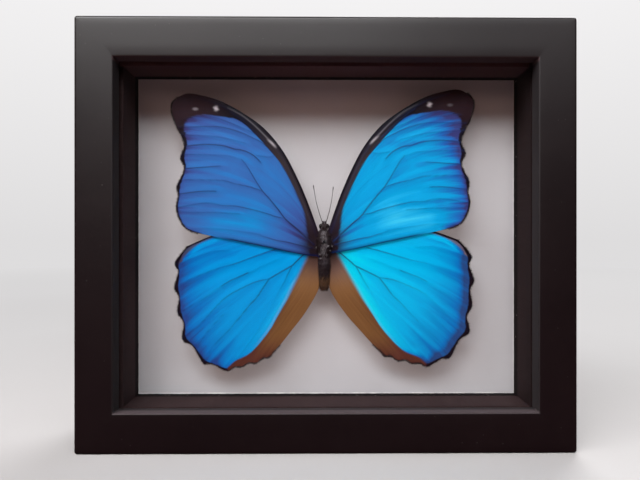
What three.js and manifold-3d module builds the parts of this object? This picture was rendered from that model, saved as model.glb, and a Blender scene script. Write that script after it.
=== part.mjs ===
// A pinned butterfly in a deep wooden box frame with a glass front.
// Millimetres, +Z up, the glass faces -Y. The frame stands on its bottom rail, and the origin is
// on the surface under it, at the middle of its width and depth.

import * as THREE from 'three';
import { mergeVertices } from 'three/addons/utils/BufferGeometryUtils.js';
import Module from 'manifold-3d';

const wasm = await Module();
wasm.setup();

// ---- Driving dimensions ----

const frameWidth = 184;
const frameHeight = 160;
const frameDepth = 36;
const railFace = 14.3; // a rail's width, seen from the front
const rabbetWidth = 5; // cut into the back of each rail, from the opening
const lipDepth = 6; // thickness of the rail in front of the rabbet
const outerRound = 1.2; // radius of the frame's outer front edge
const innerRound = 0.6; // radius of the edge around the opening

const clearance = 0.3; // between pieces that touch
const glassThickness = 2;
const spacerDepth = 16.6;
const backingThickness = 4;
const boardThickness = 2.5;

const pointLength = 10; // a framer's point, its inner end pushed into the rail
const pointWidth = 6;
const pointThickness = 0.7;
const pointInRail = 4;
const pointOffsetWide = 45; // from the middle of the top and bottom rails
const pointOffsetTall = 38; // from the middle of the side rails

const hangerLength = 44;
const hangerHeight = 8;
const hangerThickness = 0.8;
const hangerRaise = 1.6; // the toothed middle stands clear of the board
const hangerFoot = 8; // length of each flat end
const hangerBend = 3; // length of each sloping stretch
const hangerDrop = 9.6; // from the board's top edge to the hanger's middle
const toothPitch = 3;
const toothCount = 7;
const toothDepth = 1.5;
const nailRadius = 0.6;
const nailHeadRadius = 1.6;
const nailHeadThickness = 0.6;
const nailDepth = 2;

const specimenX = -0.6; // the body's axis
const specimenZ = 76; // the middle of the thorax
const specimenDepth = 16; // from the frame's front face to the wing roots

const wingThickness = 0.4;
const hindwingSetback = 0.9; // the hindwings lie behind the forewings
const tipRise = 1.4; // the wing tips stand in front of the roots
const wingArch = 0.9; // the front and hind ends curve back
const halfSpan = 58;
const halfLength = 60;

const pinRadius = 0.25;
const pinHeadRadius = 0.55;
const pinPointLength = 1;
const pinTipRadius = 0.05;
const pinZ = 1.5; // above the middle of the thorax
const pinDepth = 3; // into the backing
const antennaRadius = 0.25;
const clubRadius = 0.4;
const clubLength = 2.6;
const legRadius = 0.35;
const roundSides = 12;

// ---- Layers, measured back from the frame's front face ----

const wallThickness = railFace - rabbetWidth;
const glassFront = lipDepth + clearance;
const spacerFront = glassFront + glassThickness + clearance;
const backingFront = spacerFront + spacerDepth + clearance;
const boardFront = backingFront + backingThickness + clearance;
const boardBack = boardFront + boardThickness;
const rearFittings = boardBack + clearance; // front of the points and the hanger
const paneWidth = frameWidth - 2 * (wallThickness + clearance);
const paneHeight = frameHeight - 2 * (wallThickness + clearance);
const frontFace = -frameDepth / 2;
const middleZ = frameHeight / 2;

// ---- Wing outlines, for the right wings seen from above, from each wing's root ----
// Each wing has four edges: leading edge and trailing edge from the body outwards, and the
// scalloped outer margin between their ends. The root edge is straight.

const forewing = {
  leading: [[-1.2, 5.4], [3.5, 18.8], [8, 29.4], [13.3, 39.3], [20.5, 48], [29, 54.2], [38, 59], [47, 61.5],
    [54.2, 60.8]],
  margin: [[54.2, 60.8], [56.8, 56], [55.3, 50.3], [53.4, 46.4], [51.5, 41], [53.1, 36.3], [51.6, 32],
    [54.5, 25.4], [54, 21.4], [54.8, 17], [53.8, 12.4], [51, 8.4], [46.5, 6.6]],
  trailing: [[-1, -3.2], [7.5, -1.9], [21, 1.1], [34, 3.9], [46.5, 6.6]],
  spanSteps: 10,
};
const hindwing = {
  leading: [[-3.5, 3.5], [8, 9.5], [24, 11.5], [38, 9.6], [49, 5.9]],
  margin: [[49, 5.9], [52.6, 1.8], [54.1, -1], [53.2, -4.2], [55.1, -10], [53.6, -14.2], [54.5, -20.1],
    [52.4, -24.4], [53.4, -30.6], [49.4, -33.9], [46, -40.6], [42.6, -41.3], [37, -44.4], [31.2, -42.8],
    [24, -41.4], [19.2, -39.8], [15.3, -35.8]],
  trailing: [[-2.6, -1], [-2.2, -8], [-1.6, -14.2], [4.2, -23.2], [10.6, -30.6], [15.3, -35.8]],
  spanSteps: 10,
};
const stepsPerScallop = 2;

// Where each wing's root is from the middle of the thorax, and how far it is turned from the
// outline above: the two sides were not spread quite alike.
const spread = {
  forewing_right: { outline: forewing, side: 1, root: [2.5, 0], turn: 0, back: 0 },
  forewing_left: { outline: forewing, side: -1, root: [2.9, -1.3], turn: -0.6, back: 0 },
  hindwing_right: { outline: hindwing, side: 1, root: [4.1, -3.6], turn: 0, back: hindwingSetback },
  hindwing_left: { outline: hindwing, side: -1, root: [4.6, -2.9], turn: -3.7, back: hindwingSetback },
};

// ---- Body, from the middle of the thorax: middles and half sizes of its rounded parts ----

const thorax = { middle: [0, 1.2, 0.9], half: [3, 3.3, 5.8], sides: 14, rings: 10 };
const head = { middle: [0, 1, 7.2], half: [1.5, 1.7, 1.6], sides: 14, rings: 10 };
const eye = { middle: [1.35, 0.8, 7.7], half: [0.8, 1.2, 1.1], sides: 10, rings: 8 };
const palp = { middle: [0.45, 0.4, 8.7], half: [0.35, 0.5, 0.9], sides: 8, rings: 6 };

// The abdomen starts inside the thorax. Its outline is given as radius and share of its length.
const abdomen = { start: -3.5, length: 14.5, depth: 1.2, rings: 8, crease: 0.1 };
const abdomenOutline = [[2.2, 0], [2.45, 0.12], [2.1, 0.4], [1.9, 0.65], [1.9, 0.85], [1.3, 0.96]];

// The right legs; the left ones mirror them. They fold under the thorax, towards the backing.
const middleLeg = [[1, 2.6, 1.8], [4.4, 5, 3.2], [5.6, 6.3, -2.2], [4.4, 7.6, -8]];
const hindLeg = [[1, 2.8, -1.6], [4, 5.4, -4.4], [4, 6.9, -11], [2.8, 7.9, -17]];

// Each antenna's base inside the head and its tip, as x and z.
const antennae = {
  antenna_left: { base: [-0.3, 8], tip: [-4.3, 23.9] },
  antenna_right: { base: [0.4, 8], tip: [3.6, 23.3] },
};
const antennaDepth = 0.6; // the base lies this far behind the wing roots
const antennaBow = 0.5;
const antennaLift = 1.5; // the tip stands in front of the base

// ---- Materials ----

function finish(color, roughness, metalness = 0) {
  return new THREE.MeshStandardMaterial({ color, roughness, metalness });
}
const lacqueredWood = finish(0x1c1718, 0.4);
const blackPaper = finish(0x171314, 0.8);
const glass = finish(0xf2f7f5, 0.05);
glass.transparent = true;
glass.opacity = 0.2;
const paleBacking = finish(0xd2d0d0, 0.85);
const hardboard = finish(0x6e4f33, 0.8);
const zincSteel = finish(0xa9abab, 0.4, 0.9);
const forewingScales = finish(0x2a62b8, 0.45, 0.2);
const hindwingScales = finish(0x1b94d4, 0.45, 0.2);
const chitin = finish(0x30262a, 0.7);
const blackEnamel = finish(0x111113, 0.35);

// ---- Joining and cutting ----

function plain(geometry) {
  const bare = geometry.clone();
  bare.deleteAttribute('normal');
  bare.deleteAttribute('uv');
  return mergeVertices(bare, 1e-4);
}

function solid(geometry) {
  const merged = plain(geometry);
  const vertProperties = new Float32Array(merged.attributes.position.array);
  const triVerts = new Uint32Array(merged.index.array);
  return new wasm.Manifold(new wasm.Mesh({ numProp: 3, vertProperties, triVerts }));
}

function surface(manifold) {
  const { vertProperties, triVerts } = manifold.getMesh();
  const geometry = new THREE.BufferGeometry();
  geometry.setAttribute('position', new THREE.BufferAttribute(new Float32Array(vertProperties), 3));
  geometry.setIndex(new THREE.BufferAttribute(new Uint32Array(triVerts), 1));
  return geometry;
}

function join(pieces) {
  return pieces.reduce((whole, piece) => whole.add(piece));
}

function mesh(name, geometry, material) {
  const piece = new THREE.Mesh(plain(geometry), material);
  piece.geometry.computeVertexNormals();
  piece.name = name;
  return piece;
}

function slab(width, thickness, height, front) {
  const geometry = new THREE.BoxGeometry(width, thickness, height);
  return geometry.translate(0, frontFace + front + thickness / 2, 0);
}

// A round rod along Y, from y = start to y = end.
function rod(radius, start, end) {
  const geometry = new THREE.CylinderGeometry(radius, radius, end - start, roundSides);
  return geometry.translate(0, (start + end) / 2, 0);
}

// ---- Frame: four mitred sides, each built as the bottom one and turned into place ----

// Extrudes a section, given as distance in from the frame's outer edge and depth from its front,
// along one side of the frame, and cuts both ends to the mitre.
function mitred(section, length) {
  const mitreCut = clearance / 2 * Math.SQRT2;
  const straight = { depth: length, bevelEnabled: false, curveSegments: 4 };
  const geometry = new THREE.ExtrudeGeometry(section, straight);
  geometry.translate(0, frontFace, -length / 2);
  geometry.rotateY(-Math.PI / 2);
  const { position } = geometry.attributes;
  for (let i = 0; i < position.count; i += 1) {
    const halfLengthHere = length / 2 - position.getZ(i) - mitreCut;
    position.setX(i, Math.sign(position.getX(i)) * halfLengthHere);
  }
  return geometry;
}

function railSection() {
  const section = new THREE.Shape();
  section.moveTo(0, frameDepth);
  section.lineTo(0, outerRound);
  section.absarc(outerRound, outerRound, outerRound, Math.PI, 1.5 * Math.PI, false);
  section.lineTo(railFace - innerRound, 0);
  section.absarc(railFace - innerRound, innerRound, innerRound, 1.5 * Math.PI, 2 * Math.PI, false);
  section.lineTo(railFace, lipDepth);
  section.lineTo(wallThickness, lipDepth);
  section.lineTo(wallThickness, frameDepth);
  return section;
}

function spacerSection() {
  const spacerBack = spacerFront + spacerDepth;
  const section = new THREE.Shape();
  section.moveTo(wallThickness + clearance, spacerFront);
  section.lineTo(railFace, spacerFront);
  section.lineTo(railFace, spacerBack);
  section.lineTo(wallThickness + clearance, spacerBack);
  return section;
}

// A flat point: a strip with a tapered tip, lying over the board and reaching into the rail.
function framerPoint(grow) {
  const half = pointWidth / 2 + grow;
  const rear = wallThickness - pointInRail - grow;
  const tip = wallThickness - pointInRail + pointLength + grow;
  const taper = pointWidth / 3;
  const outline = new THREE.Shape();
  outline.moveTo(-half, rear);
  outline.lineTo(half, rear);
  outline.lineTo(half, tip - taper);
  outline.lineTo(half - taper, tip);
  outline.lineTo(taper - half, tip);
  outline.lineTo(-half, tip - taper);
  const depth = pointThickness + 2 * grow;
  const geometry = new THREE.ExtrudeGeometry(outline, { depth, bevelEnabled: false });
  geometry.rotateX(Math.PI / 2);
  return geometry.translate(0, frontFace + rearFittings - grow + depth, 0);
}

function frameSide({ name, length, turn, x, z, pointOffset, firstPoint }) {
  const side = new THREE.Group();
  side.rotation.y = turn;
  side.position.set(x, 0, z);
  let rail = solid(mitred(railSection(), length));
  [-pointOffset, pointOffset].forEach((offset, i) => {
    rail = rail.subtract(solid(framerPoint(clearance).translate(offset, 0, 0)));
    const point = mesh(`framer_point_${firstPoint + i}`, framerPoint(0), zincSteel);
    point.position.x = offset;
    side.add(point);
  });
  side.add(mesh(`rail_${name}`, surface(rail), lacqueredWood));
  side.add(mesh(`spacer_${name}`, mitred(spacerSection(), length), blackPaper));
  return side;
}

// ---- Hanger: a strip of steel with a raised, toothed middle ----

function hanger() {
  const half = hangerLength / 2;
  const bendEnd = half - hangerFoot;
  const bendStart = bendEnd - hangerBend;
  const strip = new THREE.Shape();
  strip.moveTo(-half, 0);
  strip.lineTo(-bendEnd, 0);
  strip.lineTo(-bendStart, hangerRaise);
  strip.lineTo(bendStart, hangerRaise);
  strip.lineTo(bendEnd, 0);
  strip.lineTo(half, 0);
  strip.lineTo(half, hangerThickness);
  strip.lineTo(bendEnd, hangerThickness);
  strip.lineTo(bendStart, hangerRaise + hangerThickness);
  strip.lineTo(-bendStart, hangerRaise + hangerThickness);
  strip.lineTo(-bendEnd, hangerThickness);
  strip.lineTo(-half, hangerThickness);
  const stripGeometry = new THREE.ExtrudeGeometry(strip, { depth: hangerHeight, bevelEnabled: false });
  let plate = solid(stripGeometry.translate(0, 0, -hangerHeight / 2));

  const reach = 3 * hangerRaise;
  const notches = new THREE.Shape();
  const firstNotch = -toothCount * toothPitch / 2;
  notches.moveTo(firstNotch, -hangerHeight);
  for (let i = 0; i < toothCount; i += 1) {
    notches.lineTo(firstNotch + i * toothPitch, -hangerHeight / 2 - clearance);
    notches.lineTo(firstNotch + (i + 0.5) * toothPitch, toothDepth - hangerHeight / 2);
  }
  notches.lineTo(-firstNotch, -hangerHeight / 2 - clearance);
  notches.lineTo(-firstNotch, -hangerHeight);
  const notchGeometry = new THREE.ExtrudeGeometry(notches, { depth: 2 * reach, bevelEnabled: false });
  notchGeometry.rotateX(Math.PI / 2);
  plate = plate.subtract(solid(notchGeometry.translate(0, reach, 0)));

  [-1, 1].forEach((side) => {
    const hole = rod(nailRadius + clearance, -hangerThickness, 2 * hangerThickness);
    plate = plate.subtract(solid(hole.translate(side * (half - hangerFoot / 2), 0, 0)));
  });
  return surface(plate);
}

// A nail along Y with its point towards the front and its flat head behind the hanger.
function nail() {
  const headFront = hangerThickness + clearance;
  const tip = -clearance - nailDepth;
  const profile = [
    new THREE.Vector2(0, tip),
    new THREE.Vector2(nailRadius, tip + nailRadius),
    new THREE.Vector2(nailRadius, headFront),
    new THREE.Vector2(nailHeadRadius, headFront),
    new THREE.Vector2(nailHeadRadius, headFront + nailHeadThickness / 2),
    new THREE.Vector2(nailHeadRadius / 2, headFront + nailHeadThickness),
    new THREE.Vector2(0, headFront + nailHeadThickness),
  ];
  return new THREE.LatheGeometry(profile, roundSides);
}

// ---- Specimen: x from the body's axis, y behind the wing roots, z from the thorax ----

function splineThrough(anchors) {
  return new THREE.SplineCurve(anchors.map(([x, z]) => new THREE.Vector2(x, z)));
}

// How far behind the wing roots the wing surface lies.
function wingSurface(x, z) {
  return wingArch * (z / halfLength) ** 2 - tipRise * Math.abs(x) / halfSpan;
}

// A thin sheet stretched between the wing's four edges, thickened, and arched.
function wing({ outline, side, root, turn, back }) {
  const chordSteps = stepsPerScallop * (outline.margin.length - 1);
  const sheet = new THREE.BoxGeometry(1, wingThickness, 1, outline.spanSteps, 1, chordSteps);
  const leading = splineThrough(outline.leading);
  const trailing = splineThrough(outline.trailing);
  const margin = splineThrough(outline.margin);
  const [rootFront, tipFront] = [leading.getPoint(0), leading.getPoint(1)];
  const [rootHind, tipHind] = [trailing.getPoint(0), trailing.getPoint(1)];
  const pivot = new THREE.Vector2(0, 0);
  const { position } = sheet.attributes;
  for (let i = 0; i < position.count; i += 1) {
    const u = 0.5 + side * position.getX(i);
    const v = 0.5 - position.getZ(i);
    const along = leading.getPoint(u).lerp(trailing.getPoint(u), v);
    const across = rootFront.clone().lerp(rootHind, v).lerp(margin.getPoint(v), u);
    const corners = rootFront.clone().lerp(tipFront, u).lerp(rootHind.clone().lerp(tipHind, u), v);
    const place = along.add(across).sub(corners).rotateAround(pivot, THREE.MathUtils.degToRad(turn));
    const x = place.x + root[0];
    const z = place.y + root[1];
    position.setXYZ(i, side * x, position.getY(i) + back + wingSurface(x, z), z);
  }
  return sheet;
}

// One rounded part of the body; grow makes it larger all over.
function ellipsoid({ middle, half, sides, rings }, grow = 0, side = 1) {
  const geometry = new THREE.SphereGeometry(1, sides, rings);
  geometry.rotateX(Math.PI / 2);
  geometry.scale(half[0] + grow, half[1] + grow, half[2] + grow);
  return solid(geometry.translate(side * middle[0], middle[1], middle[2]));
}

// The abdomen tapers in rings to a blunt end.
function taperedAbdomen(grow) {
  const outline = splineThrough(abdomenOutline);
  const steps = 2 * abdomen.rings;
  const profile = [new THREE.Vector2(0, abdomen.start - abdomen.length - grow)];
  for (let i = steps; i >= 0; i -= 1) {
    const { x: radius, y: share } = outline.getPoint(i / steps);
    const crease = i % 2 === 0 ? abdomen.crease : 0;
    profile.push(new THREE.Vector2(radius - crease + grow, abdomen.start - share * abdomen.length));
  }
  profile.push(new THREE.Vector2(0, abdomen.start));
  const geometry = new THREE.LatheGeometry(profile, roundSides);
  geometry.rotateX(Math.PI / 2);
  return solid(geometry.translate(0, abdomen.depth, 0));
}

// Head, eyes, thorax and abdomen; grow makes the same form larger, to cut the wings back from it.
function trunk(grow = 0) {
  const eyes = [-1, 1].map((side) => ellipsoid(eye, grow, side));
  return join([ellipsoid(thorax, grow), ellipsoid(head, grow), ...eyes, taperedAbdomen(grow)]);
}

function tube(anchors, radius, sides, steps) {
  const path = new THREE.CatmullRomCurve3(anchors.map((anchor) => new THREE.Vector3(...anchor)));
  const section = new THREE.Shape();
  for (let i = 0; i < sides; i += 1) {
    const angle = 2 * Math.PI * i / sides;
    const corner = [radius * Math.cos(angle), radius * Math.sin(angle)];
    if (i === 0) section.moveTo(...corner);
    else section.lineTo(...corner);
  }
  return new THREE.ExtrudeGeometry(section, { extrudePath: path, steps });
}

function legs() {
  const [sides, steps] = [5, 8];
  return [-1, 1].flatMap((side) => [middleLeg, hindLeg].map((leg) => {
    const path = leg.map(([x, y, z]) => [side * x, y, z]);
    return solid(tube(path, legRadius, sides, steps));
  }));
}

function palps() {
  return [-1, 1].map((side) => ellipsoid(palp, 0, side));
}

// A slender rod with a club at its end, bowed a little outwards, from the head.
function antenna({ base: [baseX, baseZ], tip: [tipX, tipZ] }) {
  const length = Math.hypot(tipX - baseX, tipZ - baseZ);
  const [sides, steps] = [6, 6];
  const profile = [new THREE.Vector2(0, 0)];
  for (let i = 0; i <= steps; i += 1) {
    profile.push(new THREE.Vector2(antennaRadius, i / steps * (length - clubLength)));
  }
  profile.push(new THREE.Vector2(clubRadius, length - clubLength / 2));
  profile.push(new THREE.Vector2(clubRadius, length - clubRadius));
  profile.push(new THREE.Vector2(0, length));
  const geometry = new THREE.LatheGeometry(profile, sides);
  const { position } = geometry.attributes;
  for (let i = 0; i < position.count; i += 1) {
    const along = position.getY(i) / length;
    position.setX(i, position.getX(i) + Math.sign(tipX) * antennaBow * Math.sin(Math.PI * along));
    position.setZ(i, position.getZ(i) + antennaLift * along);
  }
  geometry.rotateX(Math.PI / 2);
  geometry.rotateY(Math.atan2(tipX - baseX, tipZ - baseZ));
  return geometry.translate(baseX, antennaDepth, baseZ);
}

// The head of the pin stands just off the thorax, and its point is in the backing.
function pin() {
  const thoraxTop = thorax.middle[1] - thorax.half[1];
  const headMiddle = thoraxTop - clearance - pinHeadRadius;
  const tip = backingFront - specimenDepth + pinDepth;
  const shaft = rod(pinRadius, headMiddle, tip - pinPointLength);
  const point = new THREE.CylinderGeometry(pinTipRadius, pinRadius, pinPointLength, roundSides);
  point.translate(0, tip - pinPointLength / 2, 0);
  const ball = new THREE.SphereGeometry(pinHeadRadius, roundSides, roundSides / 2);
  return surface(join([solid(shaft), solid(point), solid(ball.translate(0, headMiddle, 0))]));
}

function specimen() {
  const group = new THREE.Group();
  group.position.set(specimenX, frontFace + specimenDepth, specimenZ);
  const bore = solid(rod(pinRadius + clearance, -halfSpan, halfSpan).translate(0, 0, pinZ));
  const clearOfTrunk = trunk(clearance);
  const body = join([trunk(), ...legs(), ...palps()]).subtract(bore);
  group.add(mesh('body', surface(body), chitin));
  Object.entries(spread).forEach(([name, placing]) => {
    const blade = solid(wing(placing)).subtract(clearOfTrunk);
    const scales = placing.outline === forewing ? forewingScales : hindwingScales;
    group.add(mesh(name, surface(blade), scales));
  });
  const clearOfHead = join([clearOfTrunk, ...palps()]);
  Object.entries(antennae).forEach(([name, line]) => {
    const feeler = solid(antenna(line)).subtract(clearOfHead);
    group.add(mesh(name, surface(feeler), chitin));
  });
  const pinMesh = mesh('insect_pin', pin(), blackEnamel);
  pinMesh.position.z = pinZ;
  group.add(pinMesh);
  return group;
}

// ---- Assembly ----

const butterflyFrame = new THREE.Group();

[
  { name: 'bottom', turn: 0, x: 0, z: 0 },
  { name: 'top', turn: Math.PI, x: 0, z: frameHeight },
  { name: 'left', turn: Math.PI / 2, x: -frameWidth / 2, z: middleZ },
  { name: 'right', turn: -Math.PI / 2, x: frameWidth / 2, z: middleZ },
].forEach((side, i) => {
  const lying = side.x === 0;
  const length = lying ? frameWidth : frameHeight;
  const pointOffset = lying ? pointOffsetWide : pointOffsetTall;
  butterflyFrame.add(frameSide({ ...side, length, pointOffset, firstPoint: 2 * i + 1 }));
});

const layers = new THREE.Group();
layers.position.z = middleZ;
layers.add(mesh('glass_pane', slab(paneWidth, glassThickness, paneHeight, glassFront), glass));

const pinHole = rod(pinRadius + clearance, -pinDepth, pinDepth + clearance);
pinHole.translate(specimenX, frontFace + backingFront, specimenZ + pinZ - middleZ);
const backing = solid(slab(paneWidth, backingThickness, paneHeight, backingFront)).subtract(solid(pinHole));
layers.add(mesh('backing_card', surface(backing), paleBacking));

const hangerZ = paneHeight / 2 - hangerDrop;
const nailOffset = (hangerLength - hangerFoot) / 2;
let board = solid(slab(paneWidth, boardThickness, paneHeight, boardFront));
[-nailOffset, nailOffset].forEach((x) => {
  const hole = rod(nailRadius + clearance, -nailDepth - clearance, nailDepth);
  board = board.subtract(solid(hole.translate(x, frontFace + boardBack, hangerZ)));
});
layers.add(mesh('back_board', surface(board), hardboard));

const hangerSet = new THREE.Group();
hangerSet.position.set(0, frontFace + rearFittings, hangerZ);
hangerSet.add(mesh('hanger', hanger(), zincSteel));
[['hanger_nail_left', -nailOffset], ['hanger_nail_right', nailOffset]].forEach(([name, x]) => {
  const nailMesh = mesh(name, nail(), zincSteel);
  nailMesh.position.x = x;
  hangerSet.add(nailMesh);
});
layers.add(hangerSet);

butterflyFrame.add(layers, specimen());

export default butterflyFrame;
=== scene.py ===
"""A pinned blue butterfly in a deep black box frame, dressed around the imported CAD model.

Metres, +Z up, the glass faces -Y."""
import math

import bpy
import numpy as np
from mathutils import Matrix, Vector


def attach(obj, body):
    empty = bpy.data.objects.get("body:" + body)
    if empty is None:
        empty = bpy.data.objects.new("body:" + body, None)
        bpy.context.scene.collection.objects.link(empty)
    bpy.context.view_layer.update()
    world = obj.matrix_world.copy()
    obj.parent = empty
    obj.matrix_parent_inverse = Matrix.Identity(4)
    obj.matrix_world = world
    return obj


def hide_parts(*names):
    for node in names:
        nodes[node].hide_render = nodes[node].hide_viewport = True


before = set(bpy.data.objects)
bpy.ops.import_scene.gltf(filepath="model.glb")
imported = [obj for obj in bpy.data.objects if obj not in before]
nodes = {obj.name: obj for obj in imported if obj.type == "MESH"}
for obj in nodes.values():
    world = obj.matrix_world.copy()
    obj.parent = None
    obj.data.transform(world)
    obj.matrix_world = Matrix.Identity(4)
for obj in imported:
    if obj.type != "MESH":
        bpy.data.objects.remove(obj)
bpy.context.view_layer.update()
MM = 0.001

# ---- Sizes that the looks share with the CAD model, in mm ----

FRAME_W, FRAME_H, FRAME_D = 184.0, 160.0, 36.0
RAIL_FACE, WALL, LIP = 14.3, 9.3, 6.0  # widths of the rail's face and of its wall, and the lip's thickness
SPACER_FRONT, SPACER_BACK, CARD_FRONT = 8.6, 25.2, 25.5  # depths from the frame's front
SPECIMEN_DEPTH = 16.0
SPECIMEN = np.array([-0.6, -FRAME_D / 2 + SPECIMEN_DEPTH, 76.0])  # the middle between the wings' roots
HALF_SPAN, HALF_LENGTH, TIP_RISE, WING_ARCH = 58.0, 60.0, 1.4, 0.9  # the wings' reach, and how they curve


# ---- Node materials ----

def srgb(r, g, b):
    """A colour given as 0-255 display values, as linear light."""
    def lin(c):
        c /= 255.0
        return c / 12.92 if c <= 0.04045 else ((c + 0.055) / 1.055) ** 2.4
    return lin(r), lin(g), lin(b), 1.0


def as_color(value):
    """A node's colour: three numbers are 0-255 display values, one is a grey level, four are linear light."""
    if not isinstance(value, tuple):
        return value, value, value, 1.0
    return srgb(*value) if len(value) == 3 else value


class Paint:
    """A short way to wire a node material."""

    def __init__(self, name, **constants):
        self.material = bpy.data.materials.new(name)
        self.material.use_nodes = True
        self.tree = self.material.node_tree
        self.tree.nodes.clear()
        self.out = self.add("OutputMaterial")
        self.shader = self.add("BsdfPrincipled")
        self.link(self.shader.outputs[0], self.out.inputs[0])
        for socket, value in constants.items():
            self.shader.inputs[socket.replace("_", " ")].default_value = value

    def add(self, kind, **settings):
        node = self.tree.nodes.new("ShaderNode" + kind)
        for key, value in settings.items():
            setattr(node, key, value)
        return node

    def link(self, a, b):
        self.tree.links.new(a, b)

    def feed(self, socket, value):
        if hasattr(value, "is_output"):
            self.link(value, socket)
        else:
            socket.default_value = as_color(value) if isinstance(value, tuple) else value

    def attribute(self, name):
        return self.add("Attribute", attribute_name=name).outputs["Fac"]

    def place(self, scale=(1, 1, 1), space="Object"):
        mapping = self.add("Mapping")
        self.link(self.add("TexCoord").outputs[space], mapping.inputs["Vector"])
        mapping.inputs["Scale"].default_value = scale
        return mapping.outputs[0]

    def noise(self, at, scale, detail=4.0, rough=0.6, distortion=0.0):
        node = self.add("TexNoise")
        self.link(at, node.inputs["Vector"])
        settings = {"Scale": scale, "Detail": detail, "Roughness": rough, "Distortion": distortion}
        for socket, value in settings.items():
            node.inputs[socket].default_value = value
        return node.outputs["Fac"]

    def cells(self, at, scale):
        node = self.add("TexVoronoi")
        self.link(at, node.inputs["Vector"])
        node.inputs["Scale"].default_value = scale
        return node.outputs["Distance"]

    def axes(self, at):
        """The x, y and z of a place."""
        split = self.add("SeparateXYZ")
        self.link(at, split.inputs[0])
        return [split.outputs[axis] for axis in "XYZ"]

    def ramp(self, fac, stops, ease=False):
        node = self.add("ValToRGB")
        if ease:
            node.color_ramp.interpolation = "EASE"
        elements = node.color_ramp.elements
        while len(elements) < len(stops):
            elements.new(0.5)
        for element, (at, color) in zip(elements, stops):
            element.position = at
            element.color = as_color(color)
        self.feed(node.inputs[0], fac)
        return node.outputs[0]

    def span(self, fac, low, high, to_low=0.0, to_high=1.0):
        node = self.add("MapRange")
        for socket, value in zip(("From Min", "From Max", "To Min", "To Max"), (low, high, to_low, to_high)):
            node.inputs[socket].default_value = value
        self.feed(node.inputs["Value"], fac)
        return node.outputs[0]

    def math(self, operation, a, b=0.0, clamp=False):
        node = self.add("Math", operation=operation, use_clamp=clamp)
        self.feed(node.inputs[0], a)
        self.feed(node.inputs[1], b)
        return node.outputs[0]

    def times(self, a, b):
        return self.math("MULTIPLY", a, b)

    def mix(self, fac, a, b, blend="MIX"):
        node = self.add("Mix", data_type="RGBA", blend_type=blend)
        self.feed(node.inputs[0], fac)
        self.feed(node.inputs[6], a)
        self.feed(node.inputs[7], b)
        return node.outputs[2]

    def tint(self, base, fac, low, high, amount, color):
        """Lays a colour over the base, from nothing where fac is low to the amount where it is high."""
        return self.mix(self.span(fac, low, high, 0.0, amount), base, color)

    def color(self, value):
        self.feed(self.shader.inputs["Base Color"], value)

    def mix_shaders(self, fac, a, b):
        node = self.add("MixShader")
        for source, socket in zip((fac, a, b), node.inputs):
            self.link(source, socket)
        return node.outputs[0]

    def thin(self, passed):
        """Lets this colour of the lamps' light through to what lies in the sheet's shadow."""
        film = self.add("BsdfTransparent")
        film.inputs[0].default_value = passed
        shadow = self.add("LightPath").outputs["Is Shadow Ray"]
        self.link(self.mix_shaders(shadow, self.shader.outputs[0], film.outputs[0]), self.out.inputs[0])

    def rough(self, fac, low, high):
        self.link(self.span(fac, 0.25, 0.75, low, high), self.shader.inputs["Roughness"])

    def bump(self, height, distance, strength=1.0, after=None):
        node = self.add("Bump")
        node.inputs["Strength"].default_value = strength
        node.inputs["Distance"].default_value = distance
        self.link(height, node.inputs["Height"])
        if after is not None:
            self.link(after, node.inputs["Normal"])
        self.link(node.outputs[0], self.shader.inputs["Normal"])
        return node.outputs[0]


def mitre_line(p, width):
    """1 along the four mitres of the frame's face, 0 elsewhere."""
    x, _, z = p.axes(p.place())
    from_side = p.math("SUBTRACT", FRAME_W / 2 * MM, p.math("ABSOLUTE", x))
    half = p.math("ABSOLUTE", p.math("SUBTRACT", z, FRAME_H / 2 * MM))
    from_end = p.math("SUBTRACT", FRAME_H / 2 * MM, half)
    off = p.math("ABSOLUTE", p.math("SUBTRACT", from_side, from_end))
    return p.span(off, width, 0.25 * width)


LEDGE_DEPTH = -FRAME_D / 2 + 3.6  # y to which the bottom lip's ledge is in the light
LEDGE_TOP, LIP_UNDER = 15.6, 143.8  # heights just above the bottom lip's ledge and below the top lip


def lacquer():
    """Satin black lacquer over wood: fine orange-peel, a little dust and a hairline at each mitre."""
    p = Paint("lacquer_black", Specular_IOR_Level=0.45)
    at = p.place()
    peel = p.noise(at, 330, 4, 0.55)
    pores = p.noise(at, 1300, 3, 0.7)
    mottle = p.noise(at, 26, 5, 0.62, 0.5)
    dust = p.cells(at, 300)
    base = p.ramp(mottle, [(0.3, (13, 3, 5)), (0.7, (18, 6, 8))])
    base = p.tint(base, peel, 0.45, 0.8, 0.35, (23, 12, 13))
    base = p.tint(base, dust, 0.045, 0.02, 0.7, (112, 108, 106))
    # The lip's own thickness is a browner black. Where the bottom lip faces up, outside the shadow by the
    # glass, it is painted brighter: a painted highlight for the light that falls on it there.
    _, y, z = p.axes(at)
    inner = p.attribute("inner")
    base = p.mix(p.times(inner, 0.8), base, (24, 14, 17))
    front = p.span(y, (LEDGE_DEPTH + 0.2) * MM, (LEDGE_DEPTH - 0.2) * MM)
    ledge = p.times(p.times(inner, front), p.span(z, (LEDGE_TOP + 0.2) * MM, (LEDGE_TOP - 0.2) * MM))
    base = p.mix(ledge, base, (60, 49, 52))
    # The top lip's underside is painted lighter and browner: painted light, for the light that reaches it
    # there.
    top = p.times(inner, p.span(z, (LIP_UNDER - 0.2) * MM, (LIP_UNDER + 0.2) * MM))
    base = p.mix(top, base, (62, 42, 45))
    seam = mitre_line(p, 0.00012)
    p.color(p.mix(p.times(seam, 0.6), base, (6, 4, 4)))
    polish = p.span(p.mix(0.5, mottle, pores), 0.25, 0.75, 0.35, 0.43)
    p.link(p.math("ADD", polish, p.times(inner, 0.5)), p.shader.inputs["Roughness"])
    first = p.bump(peel, 0.00004, 0.22)
    second = p.bump(pores, 0.00001, 0.4, first)
    p.bump(p.math("SUBTRACT", 1.0, seam), 0.00003, 0.35, second)
    return p.material


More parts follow.
